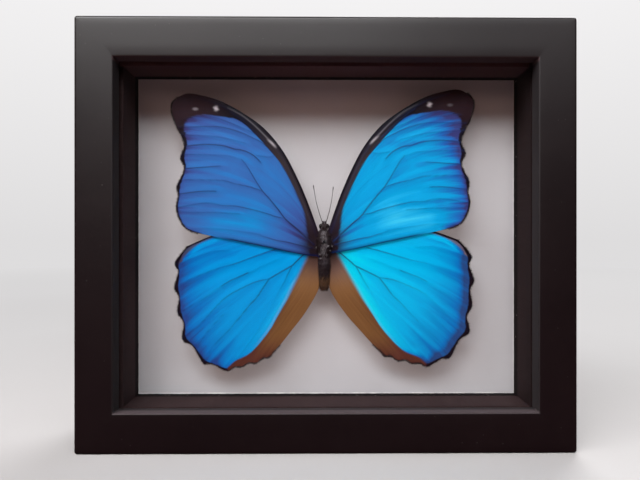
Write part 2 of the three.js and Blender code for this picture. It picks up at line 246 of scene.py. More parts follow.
def black_paper():
    p = Paint("spacer_paper", Specular_IOR_Level=0.07)
    fibre = p.noise(p.place((1, 1, 2.5)), 900, 5, 0.7)
    mottle = p.noise(p.place(), 120, 3, 0.6)
    base = p.ramp(fibre, [(0.3, (46, 33, 34)), (0.7, (58, 43, 44))])
    base = p.tint(base, mottle, 0.4, 0.8, 0.4, (66, 51, 51))
    x, y, z = p.axes(p.place())
    # The top strip's paper is painted browner and lighter, as painted light, and the right one's blacker, as
    # painted shade, than the others'.
    base = p.tint(base, z, 0.1438, 0.1443, 1.0, (86, 60, 62))
    base = p.tint(base, x, 0.0775, 0.078, 0.6, (30, 20, 21))
    # The last few mm of the strips by the backing are near-black, with a few pale fibres.
    back = p.span(y, 0.0032, 0.0038)
    fluff = p.times(back, p.span(p.cells(p.place(), 420), 0.13, 0.07, 0.0, 0.8))
    base = p.mix(back, base, (9, 5, 6))
    p.color(p.mix(fluff, base, (150, 142, 140)))
    p.rough(fibre, 0.62, 0.8)
    p.bump(fibre, 0.00004, 0.6)
    return p.material


SPACER_SHIFT = (0.6, 0, -0.45)  # mm: the strips weren't glued in quite evenly


def backing_paper():
    p = Paint("backing_paper", Specular_IOR_Level=0.2)
    at = p.place()
    fibre = p.noise(at, 1500, 5, 0.75)
    cloud = p.noise(at, 28, 4, 0.55)
    fleck = p.cells(at, 330)
    base = p.ramp(cloud, [(0.3, (203, 200, 205)), (0.7, (212, 210, 215))])
    base = p.tint(base, fibre, 0.35, 0.7, 0.16, (186, 182, 184))
    base = p.tint(base, fleck, 0.06, 0.03, 0.5, (168, 160, 158))
    # A painted highlight: a broken bright line along the card's bottom edge and, fainter, its sides, where it
    # meets the spacers.
    x, _, z = p.axes(at)
    aside = p.math("ABSOLUTE", p.math("SUBTRACT", x, SPACER_SHIFT[0] * MM))
    line = p.math("MAXIMUM", p.span(aside, 0.07725, 0.0775, 0.0, 0.6), p.span(z, 0.0152, 0.01495))
    broken = p.span(p.noise(at, 160, 2, 0.6), 0.4, 0.6, 0.25, 0.9)
    p.color(p.mix(p.times(line, broken), base, (248, 246, 246)))
    p.rough(fibre, 0.7, 0.86)
    p.bump(fibre, 0.00003, 0.5)
    return p.material


def hardboard():
    p = Paint("hardboard", Specular_IOR_Level=0.35)
    at = p.place()
    fibre = p.noise(p.place((1, 1, 1.6)), 700, 6, 0.75, 0.6)
    cloud = p.noise(at, 30, 4, 0.6)
    flakes = p.cells(at, 900)
    base = p.ramp(cloud, [(0.25, (98, 66, 42)), (0.55, (122, 86, 56)), (0.8, (136, 98, 66))])
    base = p.tint(base, fibre, 0.42, 0.68, 0.55, (70, 45, 28))
    base = p.tint(base, flakes, 0.12, 0.04, 0.35, (164, 126, 88))
    p.color(base)
    p.rough(fibre, 0.42, 0.6)
    p.bump(fibre, 0.00006, 0.6)
    return p.material


def zinc():
    p = Paint("zinc_steel", Metallic=1.0, Specular_IOR_Level=0.5)
    brush = p.noise(p.place((1, 1, 9)), 900, 4, 0.6)
    bloom = p.noise(p.place(), 240, 5, 0.7)
    base = p.ramp(bloom, [(0.3, (150, 152, 154)), (0.6, (186, 188, 188)), (0.8, (204, 204, 200))])
    p.color(p.tint(base, brush, 0.3, 0.7, 0.3, (132, 130, 128)))
    p.rough(bloom, 0.26, 0.5)
    p.bump(brush, 0.00002, 0.5)
    return p.material


def picture_glass():
    """Clear where it is looked through, with a mirror-like gloss that grows towards grazing views."""
    p = Paint("picture_glass", Metallic=1.0)
    smear = p.noise(p.place((1, 1, 3)), 22, 4, 0.6, 1.2)
    p.color(p.ramp(smear, [(0.3, (246, 250, 250)), (0.7, (255, 255, 255))]))
    p.rough(smear, 0.01, 0.03)
    p.bump(smear, 0.00002, 0.04)
    clear = p.add("BsdfTransparent")
    clear.inputs[0].default_value = (0.975, 0.978, 0.975, 1)
    facing = p.add("LayerWeight")
    facing.inputs[0].default_value = 0.5
    graze = p.math("POWER", facing.outputs["Facing"], 5.0)
    gloss = p.span(graze, 0.0, 1.0, 0.022, 0.9)
    p.link(p.mix_shaders(gloss, clear.outputs[0], p.shader.outputs[0]), p.out.inputs[0])
    return p.material


WING_FILM = (0.62, 0.585, 0.57, 1)  # what each face of a wing passes


def wing_scales(name, blues, vein, banding=1.0, costal=(74, 58, 66)):
    """Upper side of a wing. blues run from the deep blue at the margins to the brightest, vein is the veins'
    colour, banding says how strongly the blue varies and costal is the colour of the bare strip in front."""
    p = Paint(name, Metallic=0.05, Specular_IOR_Level=0.14, Specular_Tint=(0.5, 0.75, 1.0, 1.0))
    rows = p.noise(p.place((14, 420, 1), "UV"), 1.0, 5, 0.62)
    rays = p.noise(p.place((2.6, 84, 1), "UV"), 1.0, 5, 0.66, 0.3)
    grain = p.noise(p.place(), 2600, 3, 0.7)
    lines = p.noise(p.place((4.5, 210, 1), "UV"), 1.0, 4, 0.6, 0.2)
    bands = p.noise(p.place((1.1, 22, 1), "UV"), 1.0, 2, 0.5, 0.3)
    tone = p.math("ADD", p.attribute("tone"), p.span(bands, 0.3, 0.7, -0.15 * banding, 0.15 * banding))
    tone = p.math("ADD", tone, p.span(rays, 0.28, 0.72, -0.055, 0.055))
    tone = p.math("ADD", tone, p.span(lines, 0.28, 0.72, -0.03, 0.03))
    color = p.ramp(tone, blues)
    color = p.tint(color, grain, 0.3, 0.8, 0.2, p.mix(1.0, color, (170, 180, 200), "MULTIPLY"))
    browns = [(0.0, (160, 116, 76)), (0.5, (134, 92, 54)), (1.0, (100, 54, 44))]
    hem = p.ramp(p.attribute("hem_edge"), browns)
    hem = p.tint(hem, rays, 0.35, 0.7, 0.55, p.mix(1.0, hem, (165, 142, 112), "MULTIPLY"))
    color = p.mix(p.attribute("hem"), color, hem)
    color = p.mix(p.attribute("costal"), color, costal)
    ragged = p.math("ADD", p.attribute("dark"), p.span(rays, 0.25, 0.75, -0.22, 0.22))
    black = p.ramp(p.attribute("apex"), [(0.0, (18, 7, 12)), (1.0, (46, 17, 16))])
    black = p.tint(black, rays, 0.4, 0.75, 0.5, (30, 16, 34))
    color = p.mix(p.ramp(ragged, [(0.2, 0.0), (0.4, (80, 80, 80)), (0.7, 1.0)], ease=True), color, black)
    grey, violet, dusky = [p.ramp(rays, [(0.3, low), (0.7, high)]) for low, high in (
        ((48, 38, 38), (80, 68, 70)), ((30, 16, 30), (56, 38, 60)), ((22, 11, 14), (44, 28, 32)))]
    color = p.mix(p.attribute("dust"), color, grey)
    haze = p.attribute("haze")
    color = p.mix(haze, color, p.mix(p.span(haze, 0.35, 0.8), violet, dusky))
    color = p.mix(p.attribute("vein"), color, vein)
    color = p.mix(p.attribute("pale"), color, (214, 206, 214))
    p.color(color)
    p.rough(rows, 0.36, 0.52)
    first = p.bump(rows, 0.00005, 0.5)
    p.bump(grain, 0.00002, 0.45, first)
    p.thin(WING_FILM)
    return p.material


def wing_under():
    """Under side: mottled brown with eyespots, as in butterflies of this kind."""
    p = Paint("wing_underside", Specular_IOR_Level=0.3)
    rays = p.noise(p.place((5, 60, 1), "UV"), 1.0, 5, 0.65, 0.4)
    mottle = p.noise(p.place(), 120, 5, 0.65, 0.8)
    base = p.ramp(mottle, [(0.3, (70, 48, 34)), (0.5, (96, 70, 48)), (0.75, (126, 100, 74))])
    base = p.tint(base, rays, 0.35, 0.75, 0.5, (58, 40, 30))
    eye = p.ramp(p.attribute("ocellus"), [
        (0.0, (236, 232, 222)), (0.12, (236, 232, 222)), (0.18, (28, 18, 18)), (0.5, (32, 20, 18)),
        (0.58, (112, 44, 30)), (0.72, (196, 152, 76)), (0.86, (60, 40, 30)), (1.0, (70, 48, 34))])
    p.color(p.mix(p.span(p.attribute("ocellus"), 1.0, 0.9), base, eye))
    p.rough(mottle, 0.55, 0.72)
    p.bump(rays, 0.00005, 0.5)
    p.thin(WING_FILM)
    return p.material


def horn(name, low, high, rough=(0.45, 0.65), scale=900, height=0.00004):
    """Dark chitin: legs, antennae, veins, body."""
    p = Paint(name, Specular_IOR_Level=0.4)
    spots = p.noise(p.place(), scale, 5, 0.65)
    p.color(p.ramp(spots, [(0.3, low), (0.7, high)]))
    p.rough(spots, *rough)
    p.bump(spots, height, 0.6)
    return p.material


def hair(name, stops):
    """Hairs: each has its own shade, darker at its root."""
    p = Paint(name, Specular_IOR_Level=0.3, Roughness=0.6)
    shade = p.ramp(p.attribute("strand"), stops)
    flick = p.noise(p.place(), 1800, 2, 0.5)
    shade = p.tint(shade, flick, 0.3, 0.7, 0.35, (22, 16, 18))
    p.color(p.mix(p.span(p.attribute("along"), 0.0, 0.6, 0.5, 0.0), shade, (14, 10, 12)))
    p.rough(flick, 0.5, 0.7)
    p.bump(flick, 0.00002, 0.3)
    return p.material


# ---- Meshes from arrays ----

def piece(name, points, faces, materials, slots=None, uv=None, values=None):
    """A smooth mesh object from points in mm and faces (a list of arrays of equal-sided faces)."""
    mesh = bpy.data.meshes.new(name)
    points = np.asarray(points, float) * MM
    loops = np.concatenate([np.asarray(f).ravel() for f in faces])
    sizes = np.concatenate([np.full(len(f), np.asarray(f).shape[1]) for f in faces])
    mesh.vertices.add(len(points))
    mesh.vertices.foreach_set("co", points.ravel())
    mesh.loops.add(len(loops))
    mesh.loops.foreach_set("vertex_index", loops.astype(np.int32))
    mesh.polygons.add(len(sizes))
    mesh.polygons.foreach_set("loop_start", np.concatenate([[0], np.cumsum(sizes)[:-1]]).astype(np.int32))
    mesh.polygons.foreach_set("loop_total", sizes.astype(np.int32))
    for material in materials:
        mesh.materials.append(material)
    if slots is not None:
        mesh.polygons.foreach_set("material_index", np.asarray(slots, np.int32))
    mesh.update(calc_edges=True)
    mesh.validate()
    mesh.polygons.foreach_set("use_smooth", np.ones(len(mesh.polygons), bool))
    if uv is not None:
        layer = mesh.uv_layers.new(name="UVMap")
        layer.data.foreach_set("uv", np.asarray(uv, np.float32)[loops].ravel())
    for key, value in (values or {}).items():
        mesh.attributes.new(key, "FLOAT", "POINT").data.foreach_set("value", np.asarray(value, np.float32))
    obj = bpy.data.objects.new(name, mesh)
    bpy.context.scene.collection.objects.link(obj)
    return obj


class Build:
    """Collects parts of one piece: points, faces, material slots and values at the points."""

    def __init__(self, keys=()):
        self.points, self.faces, self.slots, self.uv = [], [], [], []
        self.values = {key: [] for key in keys}
        self.count = 0

    def add(self, points, faces, slot=0, uv=None, **values):
        points = np.asarray(points, float)
        for f in faces:
            f = np.asarray(f)
            self.faces.append(f + self.count)
            self.slots.append(np.full(len(f), slot))
        self.points.append(points)
        self.uv.append(np.zeros((len(points), 2)) if uv is None else np.asarray(uv))
        for key, kept in self.values.items():
            kept.append(np.broadcast_to(np.asarray(values.get(key, 0.0), float), (len(points),)))
        self.count += len(points)

    def make(self, name, materials):
        return piece(name, np.concatenate(self.points), self.faces, materials, np.concatenate(self.slots),
                     np.concatenate(self.uv), {k: np.concatenate(v) for k, v in self.values.items()})


def grid_faces(rows, columns, closed=False, flip=False):
    """Quads over a grid of points in rows."""
    r, c = np.arange(rows - 1)[:, None], np.arange(columns if closed else columns - 1)[None, :]
    a, b = r * columns + c, r * columns + (c + 1) % columns
    quads = np.stack([a, b, b + columns, a + columns], -1).reshape(-1, 4)
    return quads[:, ::-1] if flip else quads


def fan(centre, ring, flip=False):
    """Triangles from a centre to the sides of a closed ring, all given as indexes of points."""
    after = np.roll(ring, -1)
    if flip:
        ring, after = after, ring
    return np.stack([np.full(len(ring), centre), ring, after], -1)


def round_faces(rings, sides, flip=False):
    """Faces of a closed round form whose points are its rings in order and then its two ends."""
    count, side = rings * sides, np.arange(sides)
    return [grid_faces(rings, sides, closed=True, flip=flip), fan(count, side, not flip),
            fan(count + 1, count - sides + side, flip)]


def unit(vectors, least=0.0):
    """The vectors at length 1; least keeps those of no length from a division by zero."""
    return vectors / (np.linalg.norm(vectors, axis=1)[:, None] + least)


def turns(sides):
    """Angles in equal steps round a full turn."""
    return np.arange(sides) * 2 * math.pi / sides


def tube(path, radii, sides=6):
    """Points and faces of a closed round tube along a path, with its ends drawn to a point."""
    path, radii = np.asarray(path, float), np.asarray(radii, float)
    run = unit(np.gradient(path, axis=0), 1e-12)
    aside = np.cross(run, [0, 1, 0])
    thin = np.linalg.norm(aside, axis=1) < 1e-3
    aside[thin] = np.cross(run[thin], [1, 0, 0])
    aside = unit(aside)
    up = np.cross(aside, run)
    angle = turns(sides)
    ring = np.cos(angle)[None, :, None] * aside[:, None] + np.sin(angle)[None, :, None] * up[:, None]
    points = (path[:, None] + ring * radii[:, None, None]).reshape(-1, 3)
    return np.concatenate([points, path[:1], path[-1:]]), round_faces(len(path), sides)


def spline(anchors, t):
    """The curve through the anchors, as three.js's SplineCurve draws it."""
    a = np.asarray(anchors, float)
    n = len(a)
    p = (n - 1) * np.asarray(t, float)
    i = np.clip(np.floor(p).astype(int), 0, n - 1)
    w = (p - i)[..., None]
    p0, p1 = a[np.where(i == 0, i, i - 1)], a[i]
    p2, p3 = a[np.where(i > n - 2, n - 1, i + 1)], a[np.where(i > n - 3, n - 1, i + 2)]
    v0, v1 = (p2 - p0) / 2, (p3 - p1) / 2
    return (2 * p1 - 2 * p2 + v0 + v1) * w ** 3 + (-3 * p1 + 3 * p2 - 2 * v0 - v1) * w ** 2 + v0 * w + p1


def bell(value, width):
    """1 where the value is 0, falling smoothly to almost nothing at twice the width."""
    return np.exp(-(value / width) ** 2)


def step(low, high, value):
    """0 up to low, 1 from high, and smooth between them."""
    t = np.clip((value - low) / (high - low), 0, 1)
    return t * t * (3 - 2 * t)


def to_line(points, line, per_anchor=8):
    """Distance of points from a smooth line (mm), positive to its left, and the share of the way along it."""
    dense = spline(line, np.linspace(0, 1, per_anchor * (len(line) - 1) + 1))
    best = np.full(len(points), 1e9)
    sign = np.ones(len(points))
    share = np.zeros(len(points))
    total = len(dense) - 1
    for k in range(total):
        a, d = dense[k], dense[k + 1] - dense[k]
        rel = points - a
        s = np.clip((rel @ d) / (d @ d + 1e-12), 0, 1)
        off = rel - s[:, None] * d
        dist = np.hypot(off[:, 0], off[:, 1])
        near = dist < best - 1e-9
        best = np.where(near, dist, best)
        left = d[0] * rel[:, 1] - d[1] * rel[:, 0] >= 0
        sign = np.where(near, np.where(left, 1.0, -1.0), sign)
        share = np.where(near, (k + s) / total, share)
    return best * sign, share


# ---- Wings: outlines as in the CAD model, veins and markings in each wing's own x and z (mm) ----

FOREWING = {
    "leading": [[-1.2, 5.4], [3.5, 18.8], [8, 29.4], [13.3, 39.3], [20.5, 48], [29, 54.2], [38, 59],
                [46.6, 61.4], [50.9, 61.7], [54, 60.3]],
    "margin": [[54, 60.3], [56.2, 58], [56.6, 55], [55.3, 50.3], [53.4, 46.4], [51.5, 41], [53.1, 36.3],
               [51.6, 32], [54.5, 25.4], [54, 21.4], [54.8, 17], [53.8, 12.4], [51, 8.4], [46.5, 6.6]],
    "trailing": [[-1, -3.2], [7.5, -1.9], [21, 1.1], [34, 3.9], [46.5, 6.6]],
    # Each vein: its line, width at both ends (mm) and darkness at both ends.
    "veins": [
        ([[1.2, 1.7], [4.1, 4.4], [8.3, 8.4], [12.3, 11.9], [14.9, 15.4], [18.4, 19.8], [21.1, 22.9],
          [23.3, 26.2], [25.5, 30], [27.5, 33.3], [29.2, 35.5]], 0.5, 0.22, 0.95, 0.6),
        ([[29.2, 35.5], [32.1, 36.5], [36.5, 37.2], [49.7, 37.7], [53, 37.3]], 0.2, 0.2, 0.12, 0.65),
        ([[21.1, 22.9], [25.5, 24.5], [31.2, 25.8], [35.6, 27.1], [40.9, 27.5], [51.9, 27.5], [54.2, 25.8]],
          0.3, 0.22, 0.6, 0.4),
        ([[13.1, 12.3], [16.2, 12.9], [18.9, 13.9], [23.3, 15.2], [27.7, 16.3], [32.1, 17.2], [36.5, 17.4],
          [43.6, 18.5], [54.5, 16.8]], 0.32, 0.24, 0.62, 0.55),
        ([[1.7, 0.4], [5.6, 1.2], [11.4, 2.7], [15.8, 3.5], [21.1, 5.2], [25, 6.4], [40, 8.5], [50.8, 8.4]],
          0.4, 0.2, 0.8, 0.12),
        ([[37.6, 33], [51.4, 32.1]], 0.22, 0.3, 0.75, 0.9),
        ([[39.4, 23.1], [45.3, 23.1], [53.7, 22.1]], 0.26, 0.26, 0.85, 0.75),
        ([[30.3, 14.1], [40.9, 14.8], [47.3, 14.8], [53.7, 15.4]], 0.24, 0.24, 0.5, 0.45),
        ([[21.9, 34.4], [24.2, 36.8], [26.8, 38.4], [29.4, 39.3], [32.1, 39.7], [35.6, 40.8], [38.7, 41.3],
          [43.1, 41.6], [47.5, 41.3], [51.3, 40.8]], 0.34, 0.34, 0.8, 0.75),
        ([[16.7, 37], [18, 36.4], [21.5, 36.8], [23.3, 37.1]], 0.24, 0.2, 0.55, 0.4),
        ([[17.1, 38.4], [21.5, 42.3], [25, 44.1], [28.6, 45.9], [35.2, 48], [40.9, 48.7], [53.4, 48.3]],
          0.3, 0.26, 0.6, 0.5),
        ([[27.8, 42], [38, 44.5], [48.8, 45.2], [52.9, 45.6]], 0.24, 0.26, 0.3, 0.6),
        ([[19.8, 42.3], [21.9, 44.5], [25, 47.4], [27.7, 49.8], [30.3, 52], [33.4, 54.2]],
          0.28, 0.22, 0.6, 0.5),
        ([[23.3, 45.4], [30.3, 48.7], [38.2, 51.8], [42.7, 52.9], [46.8, 52.7], [51.5, 51.6]],
          0.26, 0.22, 0.5, 0.5),
        ([[0.2, 5.2], [5, 18.2], [9.6, 28.8], [14.8, 38.5], [21.8, 46.6], [29.6, 52.4], [38.2, 57.3],
          [47, 60]], 0.6, 0.3, 0.25, 0.25),
    ],
    "folds": [[[6, 10], [12, 20], [17, 29], [21, 36]], [[9, 5.5], [20, 9.2], [34, 12.2], [52, 12.2]],
              [[27, 20], [38, 22], [53, 20]], [[30, 32], [40, 34.6], [52, 34.6]],
              [[24, 41], [36, 46.2], [52, 47]]],
    # Inside this line the wing is blue; outside it the costa, the apex and the margin are black-brown.
    "border": [[3, 0], [3.8, 5], [4.5, 11.5], [5.8, 16.7], [8.4, 22.9], [11.5, 29.5], [14.5, 34.4],
               [17, 37.6], [21.5, 42.8], [27, 48.4], [31.6, 51.4], [38.2, 52.6], [42.7, 53.2], [46.8, 52.7],
               [50.4, 51.2], [51.4, 48.6], [51.2, 45.5], [50.6, 41.5], [51.6, 36.6], [51.1, 32.2],
               [53.2, 25.6], [53.6, 21.4], [54.1, 17], [53.4, 12.7], [50.8, 8.8], [46.3, 6.9]],
}
HINDWING = {
    "leading": [[-3.5, 3.5], [8, 9.5], [24, 11.5], [38, 9.6], [49, 5.9]],
    "margin": [[49, 5.9], [52.6, 1.8], [54.1, -1], [53.2, -4.2], [55.1, -10], [53.6, -14.2], [54.5, -20.1],
               [52.4, -24.4], [53.4, -30.6], [49.4, -33.9], [46, -40.6], [42.6, -41.3], [37, -44.4],
               [33.8, -43.1], [30.9, -43.3], [28.2, -41.9], [25.2, -42.2], [22.4, -40.5], [19.8, -40.3],
               [17.6, -37.9], [15.3, -35.8]],
    "trailing": [[-2.6, -1], [-2.2, -8], [-1.6, -14.2], [4.2, -23.2], [10.6, -30.6], [15.3, -35.8]],
    "veins": [
        ([[1.9, 1], [4.5, -1.2], [7.1, -3.4], [8.4, -4.5], [12.9, -6.7], [17.7, -9.1]],
          0.45, 0.34, 0.95, 0.8),
        ([[17.7, -9.1], [23.9, -10.2], [31.6, -13.3], [34.4, -14.7], [38.1, -17.5], [41.9, -21.2],
          [46.6, -25.8], [49.8, -27.8], [53, -30.4]], 0.3, 0.22, 0.6, 0.35),
        ([[17.7, -9.1], [20, -12], [23, -16], [26.7, -19.6], [30.1, -23.3], [32.9, -26.2], [36.2, -29.6],
          [40.9, -33.9], [45.6, -40.3]], 0.32, 0.2, 0.85, 0.2),
        ([[8.4, -4.5], [10.2, -7.6], [12, -10.9], [13.8, -13.5]], 0.3, 0.2, 0.8, 0.35),
        ([[13.8, -13.5], [19, -22.5], [25, -31], [31, -38], [36.8, -44]], 0.2, 0.2, 0.15, 0.2),
        ([[36.8, -22], [43.2, -28.2], [47, -32.8], [49.4, -33.9]], 0.2, 0.24, 0.25, 0.4),
        ([[13, 2.7], [16.4, 1.9], [20, 0.9], [31, -2.3], [37.6, -3.7], [48.1, -7.1], [54.8, -10]],
          0.34, 0.22, 0.8, 0.3),
        ([[32.8, 3.1], [39.4, 3.1], [48.5, 0.6], [53.8, -1]], 0.22, 0.22, 0.2, 0.35),
        ([[14.1, -1.6], [20, -3.7], [23.4, -5.4], [26, -6.2]], 0.2, 0.2, 0.12, 0.3),
        ([[26, -6.2], [27.8, -6.9], [33.6, -9.1], [37, -11]], 0.3, 0.26, 0.85, 0.6),
        ([[37, -11], [39.4, -12.3], [43.7, -15], [48.5, -17.5], [54.2, -20.1]], 0.22, 0.22, 0.25, 0.35),
    ],
    "folds": [[[10, -1.5], [24, -6.8], [40, -15], [53, -24]],
              [[14, 5.5], [30, 3.4], [44, -1.5], [53, -4.2]],
              [[20, -14], [32, -25.5], [43, -36.5], [49, -34]],
              [[20, 0], [36, -6], [50, -12], [53.6, -14.2]],
              [[10, -9.5], [18, -20], [28, -33], [31.2, -42.5]]],
    "border": [[20, 11.4], [30, 10.6], [38, 9.1], [44, 7.1], [48.5, 5.3], [51.6, 1.8], [52.9, -1.2],
               [52.8, -4.2], [53.6, -10], [53.2, -14.2], [53.1, -20.1], [52.1, -24.4], [51.9, -30],
               [49.1, -33.5], [45.1, -39.5], [42.4, -40.9], [36.8, -43.5], [33.8, -42.4], [30.8, -42.5],
               [28.2, -41.2], [25.2, -41.4], [22.5, -39.7], [19.9, -39.4], [17.9, -37.1]],
    # Right of this line, towards the body, the wing is brown and has no blue scales.
    "hem": [[1, 0], [4.7, -6.2], [8.1, -12.1], [11.5, -18.2], [15.1, -23.8], [18.3, -28.8], [21.7, -32.9],
            [25.2, -36.5], [28.6, -39], [33.1, -40.8], [36, -43]],
    "costal": [[30, 10.6], [36, 8.8], [40, 7.4], [44, 5.9], [47.7, 3.5], [50.6, 0.9]],
}
# How each wing is set: its outline, side, root (x, z), turn in degrees and how far back it lies.
SPREAD = {
    "forewing_right": (FOREWING, 1, (2.5, 0), 0, 0),
    "forewing_left": (FOREWING, -1, (2.9, -1.3), -0.6, 0),
    "hindwing_right": (HINDWING, 1, (4.1, -3.6), 0, 0.9),
    "hindwing_left": (HINDWING, -1, (4.6, -2.9), -3.7, 0.9),
}
SPAN_CELLS, CHORD_CELLS = 170, 190
SKIN = 0.16  # thickness of the wing membrane, mm


def sheet_between(outline, u, v):
    """The wing sheet stretched between its four edges, at shares u along the span and v along the chord."""
    lead, trail = spline(outline["leading"], u), spline(outline["trailing"], u)
    margin = spline(outline["margin"], v)
    root_front, tip_front, root_hind, tip_hind = [
        np.array(outline[edge][end], float) for edge in ("leading", "trailing") for end in (0, -1)]
    u, v = u[..., None], v[..., None]
    along = lead * (1 - v) + trail * v
    across = (root_front * (1 - v) + root_hind * v) * (1 - u) + margin * u
    corners = (root_front * (1 - u) + tip_front * u) * (1 - v) + (root_hind * (1 - u) + tip_hind * u) * v
    return along + across - corners


def wing_place(local, lift, side, root, turn, back):
    """Points of a wing, given in its own x and z and lifted off its middle sheet, in the frame's mm."""
    c, s = math.cos(math.radians(turn)), math.sin(math.radians(turn))
    x = local[:, 0] * c - local[:, 1] * s + root[0]
    z = local[:, 0] * s + local[:, 1] * c + root[1]
    y = back + WING_ARCH * (z / HALF_LENGTH) ** 2 - TIP_RISE * np.abs(x) / HALF_SPAN - lift
    return np.stack([side * x, y, z], -1) + SPECIMEN


def wing_relief(local, outline):
    """How far the membrane stands off its middle sheet, how dark the veins are, and a painted light and shade
    beside them that lightens one side of each vein and darkens the other.
    """
    lift = np.zeros(len(local))
    vein = np.zeros(len(local))
    vein_side_light = np.zeros(len(local))
    near = np.full(len(local), 1e9)
    for line, wide, narrow, dark, faint in outline["veins"]:
        away, share = to_line(local, line, 6)
        width = wide + (narrow - wide) * share
        strength = dark + (faint - dark) * share
        lift = np.maximum(lift, 0.05 * bell(away, 1.2 * width + 0.2))
        stain = 0.16 * np.exp(-(np.abs(away) / (1.6 * width + 0.3)) ** 1.5)
        vein = np.maximum(vein, strength * (0.7 * bell(away, 0.48 * width + 0.04) + stain))
        closer = np.abs(away) < near
        near = np.where(closer, np.abs(away), near)
        vein_side_light = np.where(closer, (np.tanh(away) - 0.35) * np.exp(-np.abs(away) / 3.2) * strength, vein_side_light)
    lift = lift - 0.06 * (1 - bell(near, 2.6))
    for line in outline["folds"]:
        away, share = to_line(local, line, 6)
        lift = lift - 0.06 * np.sin(math.pi * np.clip(share, 0.02, 0.98)) * bell(away, 1.5)
    return lift, np.clip(vein, 0, 1), vein_side_light


def forewing_marks(local, vein_side_light, left):
    """The markings at points of a forewing, as shares that its material reads."""
    x, z = local[:, 0], local[:, 1]
    inside, share = to_line(local, FOREWING["border"])
    lead, way = to_line(local, FOREWING["leading"])
    lead = np.abs(lead)
    # The edge between blue and black is soft at the apex and near the root, crisp elsewhere.
    soft = 0.6 + 0.9 * step(0.42, 0.52, share) * step(0.68, 0.6, share) + 0.9 * step(0.3, 0.05, share)
    dark = 0.5 + np.clip(inside / (2.4 * soft), -0.5, 0.5)
    root = np.hypot((x - 0.5) / 6.2, (z - 1) / 8.5)
    dark = np.maximum(dark, 0.75 * bell(root, 0.8))

    # Deeper blue at the rim, at the root and in two dips along the folds; brighter between the lower veins.
    # The lighter and darker sides of the veins, and the tones that differ between the left and right wing,
    # are painted light and shade, for how the light falls on the iridescent scales.
    rim, upper = np.clip(-inside, 0, None), step(28, 46, z)
    tone = 0.56 + 0.36 * bell(z - 9.5 - 0.06 * x, 6.5) * step(10, 27, x) * step(50, 38, x)
    rim_dip = (0.34 + 0.16 * upper) * np.exp(-rim / (1.9 + 3.2 * upper)) * step(0.3, 0.55, share)
    tone -= (0.7 if left else 1.0) * rim_dip
    tone -= (0.1 if left else 0.2) * step(34, 54, x) + 0.08 * step(36, 52, z)
    tone -= (0.36 if left else 0.06) * bell(x - 7, 9) * bell(z - 9, 11)
    tone -= 0.24 * bell(z - 16.4 - 0.03 * (x - 36), 1.7) * step(24, 31, x) * step(47, 42, x)
    tone -= 0.2 * bell(z - 40.2 - 0.1 * (x - 30), 1.3) * step(21, 26, x) * step(40, 32, x)
    tone += 0.16 * vein_side_light

    # The pale marks: two spots at the apex, and a dash and a fine line along the front edge.
    spot = np.exp(-((np.hypot(x - 39.2 + 0.2 * np.sin(4 * z), (z - 55.8) * 0.9) / 0.84) ** 3))
    faint = (0.34 if left else 0.16) * np.exp(-(((x - 47.3) / 1.1) ** 2 + ((z - 55.6) / 0.6) ** 2) ** 2)
    streak, along = to_line(local, [[15.9, 40.4], [17.2, 41.8], [18.9, 43.4]], 4)
    dash = 0.62 * bell(streak, 0.42) * (0.35 + 0.65 * np.sin(math.pi * np.clip(along, 0.02, 0.98)))
    line, run = to_line(local, [[18.9, 43.7], [24, 48.9], [29, 53], [34.5, 56]], 4)
    dash = np.maximum(dash, 0.2 * (1 - 0.7 * run) * bell(line, 0.28))

    haze = 0.97 * np.exp(-(root / (1.08 if left else 0.92)) ** 2.4)
    dust = 0.75 * step(0.5, 1.7, lead) * step(0.35, 0.85, dark) * step(0.55, 0.22, way)
    # The veins' share also holds a dark line along the trailing edge near the root.
    trail, _ = to_line(local, FOREWING["trailing"])
    return {"tone": np.clip(tone, 0, 1), "dark": dark, "apex": step(30, 46, x) * step(44, 54, z),
            "pale": np.clip(spot + faint + dash, 0, 0.95), "haze": haze,
            "dust": dust * (0.25 + 0.75 * step(5, 14, z)), "vein": 0.95 * bell(trail, 0.75) * step(42, 31, x)}


